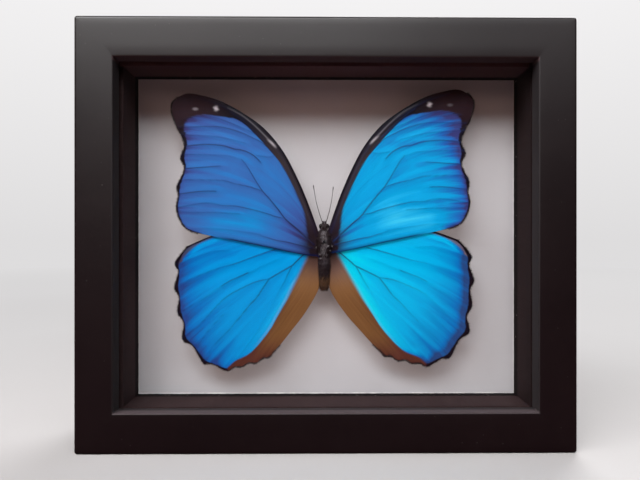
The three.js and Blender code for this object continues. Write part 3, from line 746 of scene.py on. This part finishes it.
def hindwing_marks(local, vein_side_light, left):
    """The markings at points of a hindwing, as shares that its material reads; clear thins its veins."""
    x, z = local[:, 0], local[:, 1]
    inside, share = to_line(local, HINDWING["border"])
    hem, run = to_line(local, HINDWING["hem"])
    soft = 0.25 + 0.75 * step(26, 10, -z)
    brown = step(0.2 + 0.9 * soft, 0.1 - 1.1 * soft, hem)
    dark = 0.5 + np.clip((inside + (0.0 if left else 0.25)) / 1.3, -0.5, 0.5)
    dark = dark * step(0.0, 0.08, share) * (share < 0.999) * (1 - 0.4 * brown)
    haze = 0.92 * bell(x + 0.4, 3.8) * bell(z - 1.5, 8)

    # Brighter near the root and along the brown hem, deeper towards the rim and the front edge. The lighter
    # and darker sides of the veins, and the tones that differ between the left and right wing, are painted
    # light and shade, for how the light falls on the iridescent scales.
    rim, rimmed = np.clip(-inside, 0, None), step(0.155, 0.28, share)
    tone = 0.58 + (0.12 if left else 0.36) * np.exp(-np.hypot(x - 6, (z + 8) * 0.8) / 16)
    tone += 0.22 * bell(hem - 1.6, 2.2)
    tone -= (0.4 * np.exp(-rim / 3.6) if left else 0.36 * np.exp(-rim / 2.8)) * rimmed
    tone -= 0.26 * step(30, 52, np.hypot(x, z * 0.9)) + 0.06 * step(2, 9, z)
    tone += (0.25 if left else 0.14) * vein_side_light
    if left:
        tone += 0.2 * np.exp(-np.hypot(x - 30, z + 31) / 9) - 0.14 * step(-8, 2, z) * step(46, 34, x)
    else:
        tone -= 0.3 * bell(rim, 2.6) * rimmed

    # The bare strip at the front edge, with a glint of bright blue beside it.
    strip, go = to_line(local, HINDWING["costal"])
    costal = step(0.2, 1.1, strip) * step(0.02, 0.3, go) * (x > 29)
    tone += 0.3 * bell(strip + 0.7, 0.6) * step(0.05, 0.3, go) * step(0.98, 0.7, go)
    line = (0.14 if left else 0.06) * bell(hem - 0.75, 0.35) * step(0.12, 0.25, run) * step(0.75, 0.55, run)
    hem_edge = 0.22 * bell(hem, 1.2) + 0.5 * step(4, 22, -z) + 0.5 * step(30, 42, -z)
    clear = 1.0 if left else 1 - 0.65 * step(22, 34, np.hypot(x, z))
    return {"tone": np.clip(tone, 0, 1), "dark": dark, "apex": 0.6 * brown * step(25, 40, -z), "haze": haze,
            "hem": brown, "hem_edge": np.clip(hem_edge, 0, 1), "pale": line, "clear": clear,
            "costal": np.maximum(0.85 * costal, 0.5 * brown * step(15, 4, -z))}


def eyespots(local, outline):
    """Distance from the nearest eyespot's centre, in its radii, up to 1."""
    spots = [(30, 16, 3.2), (41, 27, 2.2), (40, 38, 1.8)] if outline is FOREWING else [
        (40, -3, 3.0), (34, -16, 3.4), (33, -27, 2.6), (28, -34, 2.2)]
    away = [np.hypot(local[:, 0] - x, local[:, 1] - z) / radius for x, z, radius in spots]
    return np.clip(np.min(away, axis=0), 0, 1)


KEYS = ("tone", "dark", "apex", "pale", "hem", "hem_edge", "costal", "haze", "dust", "vein", "ocellus",
        "strand", "along")


def add_membrane(build, outline, placing):
    """The wing's skin, scaly above (slot 0) and mottled below (slot 1)."""
    v, u = np.meshgrid(np.linspace(0, 1, CHORD_CELLS + 1), np.linspace(0, 1, SPAN_CELLS + 1))
    local = sheet_between(outline, u, v).reshape(-1, 2)
    uv = np.stack([u, v], -1).reshape(-1, 2)
    lift, vein, vein_side_light = wing_relief(local, outline)
    left = placing[0] < 0
    marks = (forewing_marks if outline is FOREWING else hindwing_marks)(local, vein_side_light, left)
    marks["vein"] = np.maximum(vein * marks.pop("clear", 1.0), marks.get("vein", 0.0))
    marks["ocellus"] = eyespots(local, outline)
    rows, columns, n = SPAN_CELLS + 1, CHORD_CELLS + 1, len(local)
    ring = np.concatenate([np.arange(columns), columns - 1 + columns * np.arange(1, rows),
                           n - 1 - np.arange(1, columns), columns * np.arange(rows - 2, 0, -1)])
    after = np.roll(ring, -1)
    rim = np.stack([ring, ring + n, after + n, after], -1)
    points = [wing_place(local, lift + off, *placing) for off in (SKIN / 2, -SKIN / 2)]
    build.add(np.concatenate(points), [grid_faces(rows, columns, flip=left)], 0, np.concatenate([uv, uv]),
              **{key: np.concatenate([value, value]) for key, value in marks.items()})
    build.faces += [grid_faces(rows, columns, flip=not left) + n, rim[:, ::-1] if left else rim]
    build.slots += [np.full(SPAN_CELLS * CHORD_CELLS, 1), np.full(len(rim), 0)]


def add_veins(build, outline, placing):
    """Vein tubes that stand a little out of both faces (slot 2)."""
    for line, wide, narrow, dark, faint in outline["veins"]:
        if max(dark, faint) < 0.3:
            continue
        t = np.linspace(0, 1, 10 * (len(line) - 1) + 1)
        path = spline(line, t)
        rise, _, _ = wing_relief(path, outline)
        radius = 0.5 * (wide + (narrow - wide) * t) * (0.55 + 0.45 * (dark + (faint - dark) * t))
        radius = radius * np.minimum(1, np.minimum(t, 1 - t) * 12 + 0.25)
        build.add(*tube(wing_place(path, rise + 0.02, *placing), 0.62 * radius), 2)


def add_fringe(build, outline, placing, rng):
    """Short scales round the outer margin (slot 3)."""
    t = np.sort(rng.uniform(0.0, 1.0, 1500))
    at, later, sooner = [spline(outline["margin"], np.clip(t + off, 0, 1)) for off in (0, 0.002, -0.002)]
    ahead = later - sooner
    out = unit(np.stack([-ahead[:, 1], ahead[:, 0]], -1), 1e-9)
    centre = np.array([28.0, 22.0 if outline is FOREWING else -16.0])
    out *= np.sign(np.sum(out * (at - centre), 1))[:, None]
    length = rng.uniform(0.35, 0.7, len(t))
    lean = rng.normal(0, 0.25, (len(t), 2))
    tip = at + (out + lean) * length[:, None]
    base = at - out * 0.25
    wide = rng.uniform(0.05, 0.1, len(t))
    aside = unit(ahead, 1e-9) * wide[:, None]
    lifts = rng.uniform(-0.05, 0.06, len(t))
    corners = [wing_place(local, lifts + rise, *placing) for local, rise in (
        (base - aside, 0.02), (base + aside, 0.02), (tip, 0), (base, -0.04))]
    k = 4 * np.arange(len(t))[:, None]
    faces = [k + np.array([corner]) for corner in ([0, 1, 2], [1, 3, 2], [3, 0, 2], [0, 3, 1])]
    strand = np.repeat(rng.uniform(0, 1, len(t)), 4)
    points = np.stack(corners, 1).reshape(-1, 3)
    build.add(points, faces, 3, strand=strand, along=np.tile([0, 0, 1, 0], len(t)))


def wing(name, scales, under, vein_horn, fringe):
    outline, *placing = SPREAD[name]
    rng = np.random.default_rng(len(name) * 7 + (placing[0] > 0))
    build = Build(KEYS)
    add_membrane(build, outline, placing)
    add_veins(build, outline, placing)
    add_fringe(build, outline, placing, rng)
    obj = build.make(name + "_wing", [scales, under, vein_horn, fringe])
    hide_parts(name)
    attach(obj, "root")


# ---- Body ----

# Middles and half sizes, from the middle of the wings' roots. An eye's and a palp's x is the right one's.
THORAX = (np.array([0, 1.2, 0.9]), np.array([2.95, 3.2, 5.7]))
HEAD = (np.array([0, 1, 7.2]), np.array([1.45, 1.6, 1.55]))
EYE = (np.array([1.33, 0.8, 7.65]), np.array([0.78, 1.1, 1.02]))
PALP = (np.array([0.45, 0.4, 8.7]), np.array([0.33, 0.48, 0.88]))
# The abdomen hangs from the thorax along -z. Its outline: share of its length, and radius.
ABDOMEN = ([0, 0.1, 0.22, 0.4, 0.62, 0.8, 0.9, 0.96, 1.0], [1.9, 2.25, 2.3, 2.15, 1.9, 1.7, 1.42, 0.95, 0.15])
ABDOMEN_Y, ABDOMEN_Z, ABDOMEN_LENGTH = 1.2, -3.5, 14.4
RIGHT_LEGS = ([[1, 2.6, 1.8], [4.4, 5, 3.2], [5.6, 6.3, -2.2], [4.4, 7.6, -8]],
              [[1, 2.8, -1.6], [4, 5.4, -4.4], [4, 6.9, -11], [2.8, 7.9, -17]])
CHITIN_SLOT, FUR_SLOT, EYE_SLOT, TAIL_FUR_SLOT, TAIL_SLOT = range(5)


def rounded(middle, half, rings=28, sides=36, bumps=0.0):
    """Points and faces of a rounded form, a little uneven, with its poles along z."""
    lat, lon = np.meshgrid(np.linspace(0.02, math.pi - 0.02, rings), turns(sides), indexing="ij")
    waves = np.sin(5 * lat + 2 * lon) * 0.5 + np.sin(9 * lat - 3 * lon + 1) * 0.3 + np.sin(4 * lon) * 0.2
    grow = 1 + bumps * waves
    x, y, z = np.sin(lat) * np.cos(lon) * grow, np.sin(lat) * np.sin(lon) * grow, np.cos(lat) * grow
    points = np.stack([x, y, z], -1).reshape(-1, 3) * half + middle
    pole = np.array([0, 0, half[2]])
    return np.concatenate([points, [middle + pole, middle - pole]]), round_faces(rings, sides, flip=True)


def on_side(form, side):
    """The middle and half sizes of a form on one side of the body, from the right one's."""
    return form[0] * [side, 1, 1], form[1]


def on_form(form, count, rng):
    """Places spread over a rounded form, and the directions outwards there."""
    middle, half = form
    way = unit(rng.normal(0, 1, (count * 3, 3)))
    way = way[(way[:, 2] > -1) & (way[:, 2] < 1)][:count]
    points = way * half + middle
    return points + SPECIMEN, unit((points - middle) / np.square(half))


def hairs(build, roots, normals, lean, length, width, slot, rng, spread=0.35, shade=None):
    """Short tapered hairs that stand on roots, bent towards lean."""
    n = len(roots)
    lengths = rng.uniform(length[0], length[1], n)[:, None]
    way = unit(normals * 0.55 + lean + rng.normal(0, spread, (n, 3)))
    bend = lean * 0.5 + rng.normal(0, 0.15, (n, 3))
    aside = unit(np.cross(way, rng.normal(0, 1, (n, 3))), 1e-9)
    other = np.cross(way, aside)
    w = rng.uniform(width[0], width[1], n)[:, None]
    base, mid, tip = roots - way * 0.1, roots + way * lengths * 0.5, roots + (way + bend * 0.35) * lengths
    a, b = aside * w, other * w
    corners = [base + a, base - a * 0.5 + b * 0.87, base - a * 0.5 - b * 0.87,
               mid + a * 0.7, mid - a * 0.35 + b * 0.6, mid - a * 0.35 - b * 0.6, tip]
    k = 7 * np.arange(n)[:, None]
    faces = [k + np.array([q]) for q in ([0, 1, 4, 3], [1, 2, 5, 4], [2, 0, 3, 5])]
    faces += [k + np.array([t]) for t in ([3, 4, 6], [4, 5, 6], [5, 3, 6], [2, 1, 0])]
    shade = rng.uniform(0, 0.9, n) if shade is None else np.clip(shade + rng.normal(0, 0.09, n), 0, 1)
    build.add(np.stack(corners, 1).reshape(-1, 3), faces, slot, strand=np.repeat(shade, 7),
              along=np.tile([0, 0, 0, .5, .5, .5, 1], n))


def add_abdomen(build):
    """The abdomen: ring after ring, each overlapping the next, browner towards the tail."""
    rings, sides = 91, 40
    share = np.linspace(0, 1, rings)
    wave = (share * 8) % 1
    radius = np.interp(share, *ABDOMEN) * (1 - 0.08 * bell(wave - 0.02, 0.1) - 0.05 * wave * (share < 0.93))
    angle = turns(sides)
    x = radius[:, None] * np.cos(angle)
    y = radius[:, None] * np.sin(angle) * (1 - 0.06 * share[:, None]) + ABDOMEN_Y
    z = np.broadcast_to((ABDOMEN_Z - share * ABDOMEN_LENGTH)[:, None], x.shape)
    points = np.stack([x, y, z], -1).reshape(-1, 3)
    ends = [[0, ABDOMEN_Y, ABDOMEN_Z], [0, ABDOMEN_Y, ABDOMEN_Z - ABDOMEN_LENGTH]]
    build.add(np.concatenate([points, ends]) + SPECIMEN, round_faces(rings, sides), CHITIN_SLOT)
    build.slots[-3] = np.where(np.repeat(share[:-1], sides) > 0.7, TAIL_SLOT, CHITIN_SLOT)
    build.slots[-1] = np.full(sides, TAIL_SLOT)


def add_forms(build, rng):
    """Thorax, head and abdomen, and on each side an eye, a palp and two folded legs with their spines."""
    def add_rounded(form, slot, *shape):
        points, faces = rounded(*form, *shape)
        build.add(points + SPECIMEN, faces, slot)

    add_rounded(THORAX, CHITIN_SLOT, 28, 36, 0.02)
    add_rounded(HEAD, CHITIN_SLOT, 28, 36, 0.02)
    add_abdomen(build)
    for side in (-1, 1):
        add_rounded(on_side(EYE, side), EYE_SLOT, 20, 26)
        add_rounded(on_side(PALP, side), CHITIN_SLOT, 14, 14, 0.03)
        for leg in RIGHT_LEGS:
            t = np.linspace(0, 1, 49)
            path = spline(leg, t) * [side, 1, 1] + SPECIMEN
            knees = sum(bell(t - knee, 0.03) for knee in (1 / 3, 2 / 3))
            build.add(*tube(path, 0.34 - 0.2 * t + 0.05 * knees, 8), CHITIN_SLOT)
            roots = np.repeat(path[18:46:2], 2, 0)
            sideways = np.tile([[1, 0, 0], [-1, 0, 0]], (len(roots) // 2, 1))
            hairs(build, roots, sideways, np.array([0, 0.1, -0.6]), (0.5, 0.9), (0.03, 0.05), FUR_SLOT, rng,
                  0.1)


def add_body_hair(build, rng):
    """The hairs of the thorax, head and abdomen, and the pale tufts between the wings."""
    # A grey streak runs down the middle of the thorax between darker flanks.
    roots, normals = on_form(THORAX, 5200, rng)
    x, z = roots[:, 0], roots[:, 2]
    off = np.abs(x - SPECIMEN[0] - 0.25 * np.sin((z - SPECIMEN[2]) * 1.1))
    clump = 0.16 * np.sin(z * 2.9 + x * 3.7) * np.sin(z * 1.3 - x * 5.1)
    hairs(build, roots, normals, np.array([0, -0.05, -0.75]), (0.7, 1.5), (0.035, 0.07), FUR_SLOT, rng,
          shade=0.8 - 0.55 * step(0.5, 1.6, off) + clump)

    # Pale tufts stand at the wings' bases: x, z, y, how many hairs and how wide.
    tufts = [(1.2, 0.0, -1.75, 34, 0.45), (2.8, 0.0, 0.1, 26, 0.4), (-2.8, -0.6, 0.1, 24, 0.4),
             (-1.5, -3.3, -0.9, 14, 0.35), (-1.2, -4.9, -0.9, 12, 0.3), (2.2, -1.9, -0.5, 12, 0.35),
             (0.1, 4.6, -1.3, 18, 0.5), (-0.4, 1.8, -1.9, 16, 0.6)]
    for x, z, y, count, size in tufts:
        roots = np.array([x, y, z]) + SPECIMEN + rng.normal(0, size * 0.5, (count, 3)) * [1, 0.3, 0.7]
        hairs(build, roots, np.tile([0.0, -1.0, 0.0], (count, 1)), np.array([0.25 * np.sign(x), 0, -0.45]),
              (0.5, 1.0), (0.05, 0.08), FUR_SLOT, rng, 0.4, shade=1.0 if abs(z) < 1 else 0.86)
    hairs(build, *on_form(HEAD, 900, rng), np.array([0, -0.2, 0.2]), (0.35, 0.8), (0.03, 0.05), FUR_SLOT, rng)
    for side in (-1, 1):
        hairs(build, *on_form(on_side(PALP, side), 160, rng), np.array([0, -0.1, 0.5]), (0.25, 0.5),
              (0.03, 0.045), FUR_SLOT, rng)

    # On the abdomen the hairs are greyer in the middle near its upper end, and brown on the dark-tipped tail.
    count = 5200
    share, angle = rng.uniform(0.03, 0.97, count), rng.uniform(0, 2 * math.pi, count)
    normals = np.stack([np.cos(angle), np.sin(angle), np.zeros(count)], -1)
    middles = np.stack([np.zeros(count), np.full(count, ABDOMEN_Y), ABDOMEN_Z - share * ABDOMEN_LENGTH], -1)
    roots = normals * np.interp(share, *ABDOMEN)[:, None] + middles
    tail = share + rng.normal(0, 0.05, count) > 0.62
    for chosen, slot, length in ((~tail, FUR_SLOT, (0.5, 1.1)), (tail, TAIL_FUR_SLOT, (0.6, 1.2))):
        x, z = roots[chosen][:, 0], roots[chosen][:, 2]
        if slot == FUR_SLOT:
            shade = 0.3 + 0.36 * bell(z + 6.2, 1.7) * bell(x, 1.3) + 0.05 * np.sin(z * 3.5)
        else:
            shade = rng.uniform(0.2, 0.9, len(z)) - 0.5 * bell(z + 16.6, 0.8)
        hairs(build, roots[chosen] + SPECIMEN, normals[chosen], np.array([0, 0, -1.1]), length, (0.03, 0.055),
              slot, rng, 0.25, shade)


def body(chitin, fur, eye_horn, tail_fur, tail_chitin):
    rng = np.random.default_rng(11)
    build = Build(("strand", "along"))
    add_forms(build, rng)
    add_body_hair(build, rng)
    obj = build.make("body_detail", [chitin, fur, eye_horn, tail_fur, tail_chitin])
    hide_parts("body")
    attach(obj, "root")


def antenna(name, base, tip, chitin):
    """A feeler with a ringed shaft and a club at its end, slightly bowed outwards."""
    base, tip = np.array(base, float), np.array(tip, float)
    run = tip - base
    t = np.linspace(0, 1, 121)
    bow = np.sign(tip[0]) * 0.5 * np.sin(math.pi * t)
    side = np.array([run[1], -run[0]]) / np.hypot(*run)
    flat = base + run * t[:, None] + side * bow[:, None]
    path = np.stack([flat[:, 0], 0.6 - 1.5 * t, flat[:, 1]], -1) + SPECIMEN
    radius = 0.13 - 0.035 * t + 0.08 * step(0.84, 0.95, t) + 0.018 * np.cos(t * 2 * math.pi * 40)
    radius[-3:] = [0.15, 0.1, 0.05]
    build = Build()
    build.add(*tube(path, radius, 10))
    obj = build.make(name + "_detail", [chitin])
    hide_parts(name)
    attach(obj, "root")


def lathe_y(profile, at, sides=32):
    """A round form along y from (y, radius) pairs."""
    profile = np.asarray(profile, float)
    path = np.stack([np.zeros(len(profile)), profile[:, 0], np.zeros(len(profile))], -1)
    ring = np.stack([np.cos(turns(sides)), np.zeros(sides), np.sin(turns(sides))], -1)
    points = (path[:, None] + ring[None] * profile[:, 1][:, None, None]).reshape(-1, 3) + at
    points = np.concatenate([points, [path[0] + at, path[-1] + at]])
    return points, round_faces(len(profile), sides, flip=True)


def pin(enamel):
    """The insect pin: its head stands just off the CAD model's thorax, and its point is in the backing."""
    thorax_front, clearance, head, wire, up, in_card = 1.2 - 3.3, 0.3, 0.55, 0.19, 1.5, 3
    head_y = thorax_front - clearance - head
    tip = CARD_FRONT - SPECIMEN_DEPTH + in_card
    ball = np.linspace(0.05, math.pi - 0.45, 14)
    profile = [(head_y - head * math.cos(t), head * math.sin(t)) for t in ball]
    profile += [(head_y + head + 0.01, wire + 0.01), (head_y + 0.8, wire)]
    profile += [(tip - 1, wire), (tip - 0.05, 0.03)]
    build = Build()
    build.add(*lathe_y(profile, SPECIMEN + [0, 0, up]))
    obj = build.make("pin_detail", [enamel])
    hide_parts("insect_pin")
    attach(obj, "root")


# ---- Frame: the four rails lacquered as one, and the paper-faced spacers behind the glass ----

CORNERS = ((1, 1), (-1, 1), (-1, -1), (1, -1))


def round_the_frame(section, corner, steps=36, bends=7, ragged=None, narrower=0.75):
    """Sweeps a section, given as distance in from the outer edge and depth from the front, round the frame.

    Its outer corners have the radius corner. ragged moves each ring's points inwards along the way. narrower
    is how much wider the lip is at the top and bottom than at the sides, as in the photograph."""
    points = []
    for index, (inset, depth) in enumerate(section):
        r = max(corner - inset, 0.04)
        half_w = FRAME_W / 2 - inset
        half_h = FRAME_H / 2 - inset - narrower * step(WALL + 0.5, RAIL_FACE - 0.6, inset)
        straight = np.array([half_w - r, half_h - r])
        ring = []
        for quarter in range(4):
            here, after = [straight * CORNERS[k % 4] for k in (quarter, quarter + 1)]
            ways = quarter * math.pi / 2 + np.linspace(0, math.pi / 2, bends)
            ring += [here + r * np.array([math.cos(way), math.sin(way)]) for way in ways]
            start, end = ring[-1], after + r * np.array([math.cos(ways[-1]), math.sin(ways[-1])])
            ring += [start + (end - start) * t for t in np.linspace(0, 1, steps)[1:-1]]
        ring = np.array(ring)
        if ragged is not None:
            inward = ragged(index, ring)
            big = np.abs(ring[:, 0]) / half_w > np.abs(ring[:, 1]) / half_h
            ring = ring - np.where(big[:, None], [1, 0], [0, 1]) * np.sign(ring) * inward[:, None]
        y = np.full(len(ring), depth - FRAME_D / 2)
        points.append(np.stack([ring[:, 0], y, ring[:, 1] + FRAME_H / 2], -1))
    rows, columns = len(points), len(points[0])
    first = np.arange(columns)
    after, end = (first + 1) % columns, (rows - 1) * columns
    close = np.stack([first + end, after + end, after, first], -1)
    return np.concatenate(points), [grid_faces(rows, columns, closed=True), close]


def arc(a, d, r, start, stop, steps):
    """Points of a section's round edge, as (distance in, depth) pairs."""
    return [(a + r * math.cos(t), d + r * math.sin(t)) for t in np.linspace(start, stop, steps)]


def frame_mesh():
    outer, lip_edge, chamfer = 1.2, 0.6, 0.3  # radii of the face's two edges, and the back edges' chamfer
    section = [(chamfer, FRAME_D), (0.0, FRAME_D - chamfer), (0.0, 20.0), (0.0, outer + 2)]
    section += arc(outer, outer, outer, math.pi, 1.5 * math.pi, 10)
    section += [(3.5, 0.0), (7.0, 0.0), (10.5, 0.0)]
    section += arc(RAIL_FACE - lip_edge, lip_edge, lip_edge, 1.5 * math.pi, 2 * math.pi, 8)
    section += [(RAIL_FACE, LIP - 0.15), (RAIL_FACE - 0.15, LIP), (WALL, LIP), (WALL, FRAME_D - chamfer),
                (WALL - chamfer, FRAME_D)]
    points, faces = round_the_frame(section, 1.1)
    inner = [step(RAIL_FACE - 0.55, RAIL_FACE - 0.05, a) if d < LIP else float(a >= WALL) for a, d in section]
    build = Build(("inner",))
    build.add(points, faces, inner=np.repeat(inner, len(points) // len(section)))
    obj = build.make("rails_lacquered", [lacquer()])
    obj.modifiers.new("edges", "EDGE_SPLIT").split_angle = math.radians(32)
    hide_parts(*[f"rail_{side}" for side in ("top", "bottom", "left", "right")])
    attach(obj, "root")


def spacer_mesh(paper):
    """Strips of board between the glass and the backing; their cut back edge is a little rough."""
    rng = np.random.default_rng(5)
    rough = np.convolve(rng.normal(0, 1, 4000), [0.25, 0.5, 0.25], "same")

    def ragged(index, ring):
        if index not in (3, 4):
            return np.zeros(len(ring))
        return 0.07 * np.abs(rough[:len(ring)])

    section = [(WALL + 0.3, SPACER_FRONT), (RAIL_FACE - 0.1, SPACER_FRONT), (RAIL_FACE, SPACER_FRONT + 0.1),
               (RAIL_FACE, SPACER_BACK - 0.5), (RAIL_FACE, SPACER_BACK), (WALL + 0.3, SPACER_BACK)]
    build = Build()
    points, faces = round_the_frame(section, 0.0, steps=420, bends=3, ragged=ragged, narrower=0.8)
    points.reshape(len(section), -1, 3)[1:5] += SPACER_SHIFT
    build.add(points, faces)
    obj = build.make("spacers_papered", [paper])
    obj.modifiers.new("edges", "EDGE_SPLIT").split_angle = math.radians(40)
    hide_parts(*[f"spacer_{side}" for side in ("top", "bottom", "left", "right")])
    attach(obj, "root")


frame_mesh()
spacer_mesh(black_paper())

# ---- Carried-over CAD nodes: their own shapes, with finished surfaces ----

def dress(node, material):
    mesh = nodes[node].data
    mesh.materials.clear()
    mesh.materials.append(material)


dress("glass_pane", picture_glass())
dress("backing_card", backing_paper())
dress("back_board", hardboard())
steel = zinc()
for node in [f"framer_point_{i}" for i in range(1, 9)] + ["hanger", "hanger_nail_left", "hanger_nail_right"]:
    dress(node, steel)

# ---- The specimen ----

# Each wing's blues, from the deep ones at its margins to the brightest, and the colour of its veins. The left
# wings' duller blues and darker veins are painted shade, and the right wings' brighter ones painted light,
# for how the light falls on the iridescent scales.
WINGS = {
    "forewing_right": dict(vein=(4, 40, 96), blues=[
        (0.0, (58, 60, 122)), (0.22, (32, 104, 192)), (0.5, (2, 163, 227)), (0.7, (4, 172, 234)),
        (0.86, (38, 192, 248)), (1.0, (64, 212, 255))]),
    "forewing_left": dict(vein=(10, 18, 60), blues=[
        (0.0, (58, 56, 116)), (0.22, (60, 92, 168)), (0.5, (54, 112, 188)), (0.72, (44, 122, 200)),
        (1.0, (12, 148, 220))]),
    "hindwing_right": dict(vein=(0, 40, 100), banding=0.6, costal=(112, 92, 98), blues=[
        (0.0, (42, 74, 134)), (0.22, (8, 118, 202)), (0.5, (0, 180, 242)), (0.75, (0, 202, 254)),
        (1.0, (0, 224, 255))]),
    "hindwing_left": dict(vein=(2, 34, 92), blues=[
        (0.0, (38, 74, 150)), (0.22, (10, 118, 206)), (0.5, (0, 156, 232)), (0.75, (0, 164, 238)),
        (1.0, (16, 184, 248))]),
}
fringe = hair("margin_fringe", [(0.0, (16, 9, 12)), (0.8, (38, 26, 26)), (1.0, (104, 90, 86))])
underside = wing_under()
# Veins: a lighter copy of the colour, painted light, for the right wings, and a darker one, painted shade,
# for the left.
lit_vein = horn("vein_lit_copy", (4, 30, 78), (10, 44, 96))
shaded_vein = horn("vein_shaded_copy", (8, 12, 44), (14, 22, 62))
for name, look in WINGS.items():
    scales = wing_scales("scales_" + name, **look)
    wing(name, scales, underside, shaded_vein if "left" in name else lit_vein, fringe)
body(horn("body_chitin", (28, 14, 18), (52, 32, 36), scale=700),
     hair("body_hair", [(0.0, (32, 15, 19)), (0.3, (56, 36, 42)), (0.6, (96, 84, 90)),
                        (0.85, (150, 142, 148)), (1.0, (226, 218, 222))]),
     horn("eye_facets", (14, 10, 12), (26, 20, 22), (0.12, 0.22), 2600, 0.00002),
     hair("tail_hair", [(0.0, (74, 46, 30)), (0.6, (122, 84, 56)), (1.0, (166, 124, 86))]),
     horn("tail_chitin", (84, 56, 38), (120, 82, 54), scale=700))
feeler = horn("antenna_horn", (34, 28, 32), (62, 52, 54), (0.4, 0.6), 1400)
antenna("antenna_left", (-0.3, 8), (-4.3, 23.9), feeler)
antenna("antenna_right", (0.4, 8), (3.6, 23.3), feeler)
pin(horn("pin_enamel", (14, 13, 14), (26, 25, 26), (0.18, 0.3), 600, 0.00001))

# ---- Stage: floor, light and camera ----

BACKDROP = (0.73, 0.72, 0.725, 1)
ABOVE = (0.9, 0.89, 0.895, 1)


def floor():
    p = Paint("floor_pale", Specular_IOR_Level=0.2)
    cloud = p.noise(p.place(), 3, 4, 0.6)
    fine = p.noise(p.place(), 900, 3, 0.6)
    p.color(p.ramp(cloud, [(0.3, (176, 173, 173)), (0.7, (182, 180, 180))]))
    p.rough(fine, 0.6, 0.75)
    p.bump(fine, 0.00003, 0.3)
    # Far from the object the floor turns into the backdrop's own tone.
    glow = p.add("Emission")
    glow.inputs["Color"].default_value = BACKDROP
    away = p.add("VectorMath", operation="LENGTH")
    p.link(p.place(), away.inputs[0])
    rays = p.add("LightPath").outputs
    fading = [(0.05, 0.0), (0.12, 0.3), (0.22, 0.6), (0.45, 0.85), (1.0, 1.0)]
    far = p.ramp(p.math("DIVIDE", away.outputs["Value"], 1.5), fading)
    both = p.mix_shaders(p.times(far, rays["Is Camera Ray"]), p.shader.outputs[0], glow.outputs[0])
    # The object's reflections and bounce light see a dimmer floor: in the photograph it ends just in front.
    dark = p.add("BsdfDiffuse")
    p.link(p.mix(rays["Is Glossy Ray"], (0.09, 0.03, 0.02, 1), (0.03, 0.008, 0.01, 1)), dark.inputs[0])
    mirrored, bounced = p.times(rays["Is Glossy Ray"], 0.96), p.times(rays["Is Diffuse Ray"], 0.85)
    dimmed = p.math("ADD", mirrored, bounced, clamp=True)
    p.link(p.mix_shaders(dimmed, both, dark.outputs[0]), p.out.inputs[0])
    radius, rings, sides = 6.0, 40, 96
    r = radius * (np.arange(1, rings + 1) / rings) ** 2
    x, y = r[:, None] * np.cos(turns(sides)), r[:, None] * np.sin(turns(sides))
    points = np.stack([x, y, np.zeros_like(x)], -1).reshape(-1, 3)
    points = np.concatenate([points, [[0, 0, 0]]]) / MM
    faces = [grid_faces(rings, sides, closed=True, flip=True), fan(rings * sides, np.arange(sides))]
    obj = piece("floor", points, faces, [p.material])


def area(name, at, towards, size, power, color=(1, 1, 1)):
    light = bpy.data.lights.new(name, "AREA")
    light.shape = "RECTANGLE"
    light.size, light.size_y = size
    light.energy = power
    light.color = color
    obj = bpy.data.objects.new(name, light)
    obj.location = at
    obj.rotation_euler = (Vector(towards) - Vector(at)).to_track_quat("-Z", "Y").to_euler()
    obj.visible_camera = False
    bpy.context.scene.collection.objects.link(obj)
    return obj


def backdrop():
    """Only the camera sees the pale backdrop; the room's own light is faint and a little warm."""
    world = bpy.data.worlds.new("studio")
    bpy.context.scene.world = world
    world.use_nodes = True
    tree = world.node_tree
    add, link = tree.nodes.new, tree.links.new
    background = tree.nodes["Background"]
    seen = add("ShaderNodeLightPath").outputs["Is Camera Ray"]
    level = add("ShaderNodeMapRange")
    level.inputs["To Min"].default_value = 0.035
    level.inputs["To Max"].default_value = 1.0
    link(seen, level.inputs["Value"])
    link(level.outputs[0], background.inputs["Strength"])
    up = add("ShaderNodeSeparateXYZ")
    link(add("ShaderNodeTexCoord").outputs["Generated"], up.inputs[0])
    fade = add("ShaderNodeValToRGB")
    for element, (at, tone) in zip(fade.color_ramp.elements, ((0.0, BACKDROP), (0.42, ABOVE))):
        element.position, element.color = at, tone
    link(up.outputs["Z"], fade.inputs[0])
    room = add("ShaderNodeMix")
    room.data_type = "RGBA"
    room.inputs[6].default_value = (1.0, 0.7, 0.66, 1)
    link(seen, room.inputs[0])
    link(fade.outputs[0], room.inputs[7])
    link(room.outputs[2], background.inputs["Color"])


def photo_camera():
    """The photograph's view: from close by, level with the middle of the frame."""
    data = bpy.data.cameras.new("camera")
    data.lens, data.sensor_width = 28.77, 36
    data.clip_start, data.clip_end = 0.01, 30
    camera = bpy.data.objects.new("camera", data)
    camera.location = (-0.0039, -0.2044, 0.07815)
    camera.rotation_euler = (math.radians(90.01), 0, math.radians(-0.466))
    bpy.context.scene.collection.objects.link(camera)
    bpy.context.scene.camera = camera
    bpy.context.scene.view_settings.view_transform = "Standard"


floor()
backdrop()
area("key", (-0.28, -0.49, 0.68), (0, 0, 0.1), (1.1, 0.27), 12, (0.985, 0.985, 0.99))
area("sheen", (-0.53, -0.9, 0.76), (0, 0, 0.1), (0.3, 0.2), 2.3, (1.0, 0.99, 0.98))
area("low", (-0.3, -0.62, 0.35), (0, 0, 0.1), (0.7, 0.2), 0.65, (1.0, 0.66, 0.52)).visible_glossy = False
area("fill", (0.6, -0.78, 0.8), (0, 0, 0.08), (0.5, 0.4), 2.6, (0.97, 0.98, 1.0))
area("rear", (0.5, 0.95, 0.9), (0, 0, 0.06), (0.9, 0.9), 18, (1, 1, 1))
photo_camera()
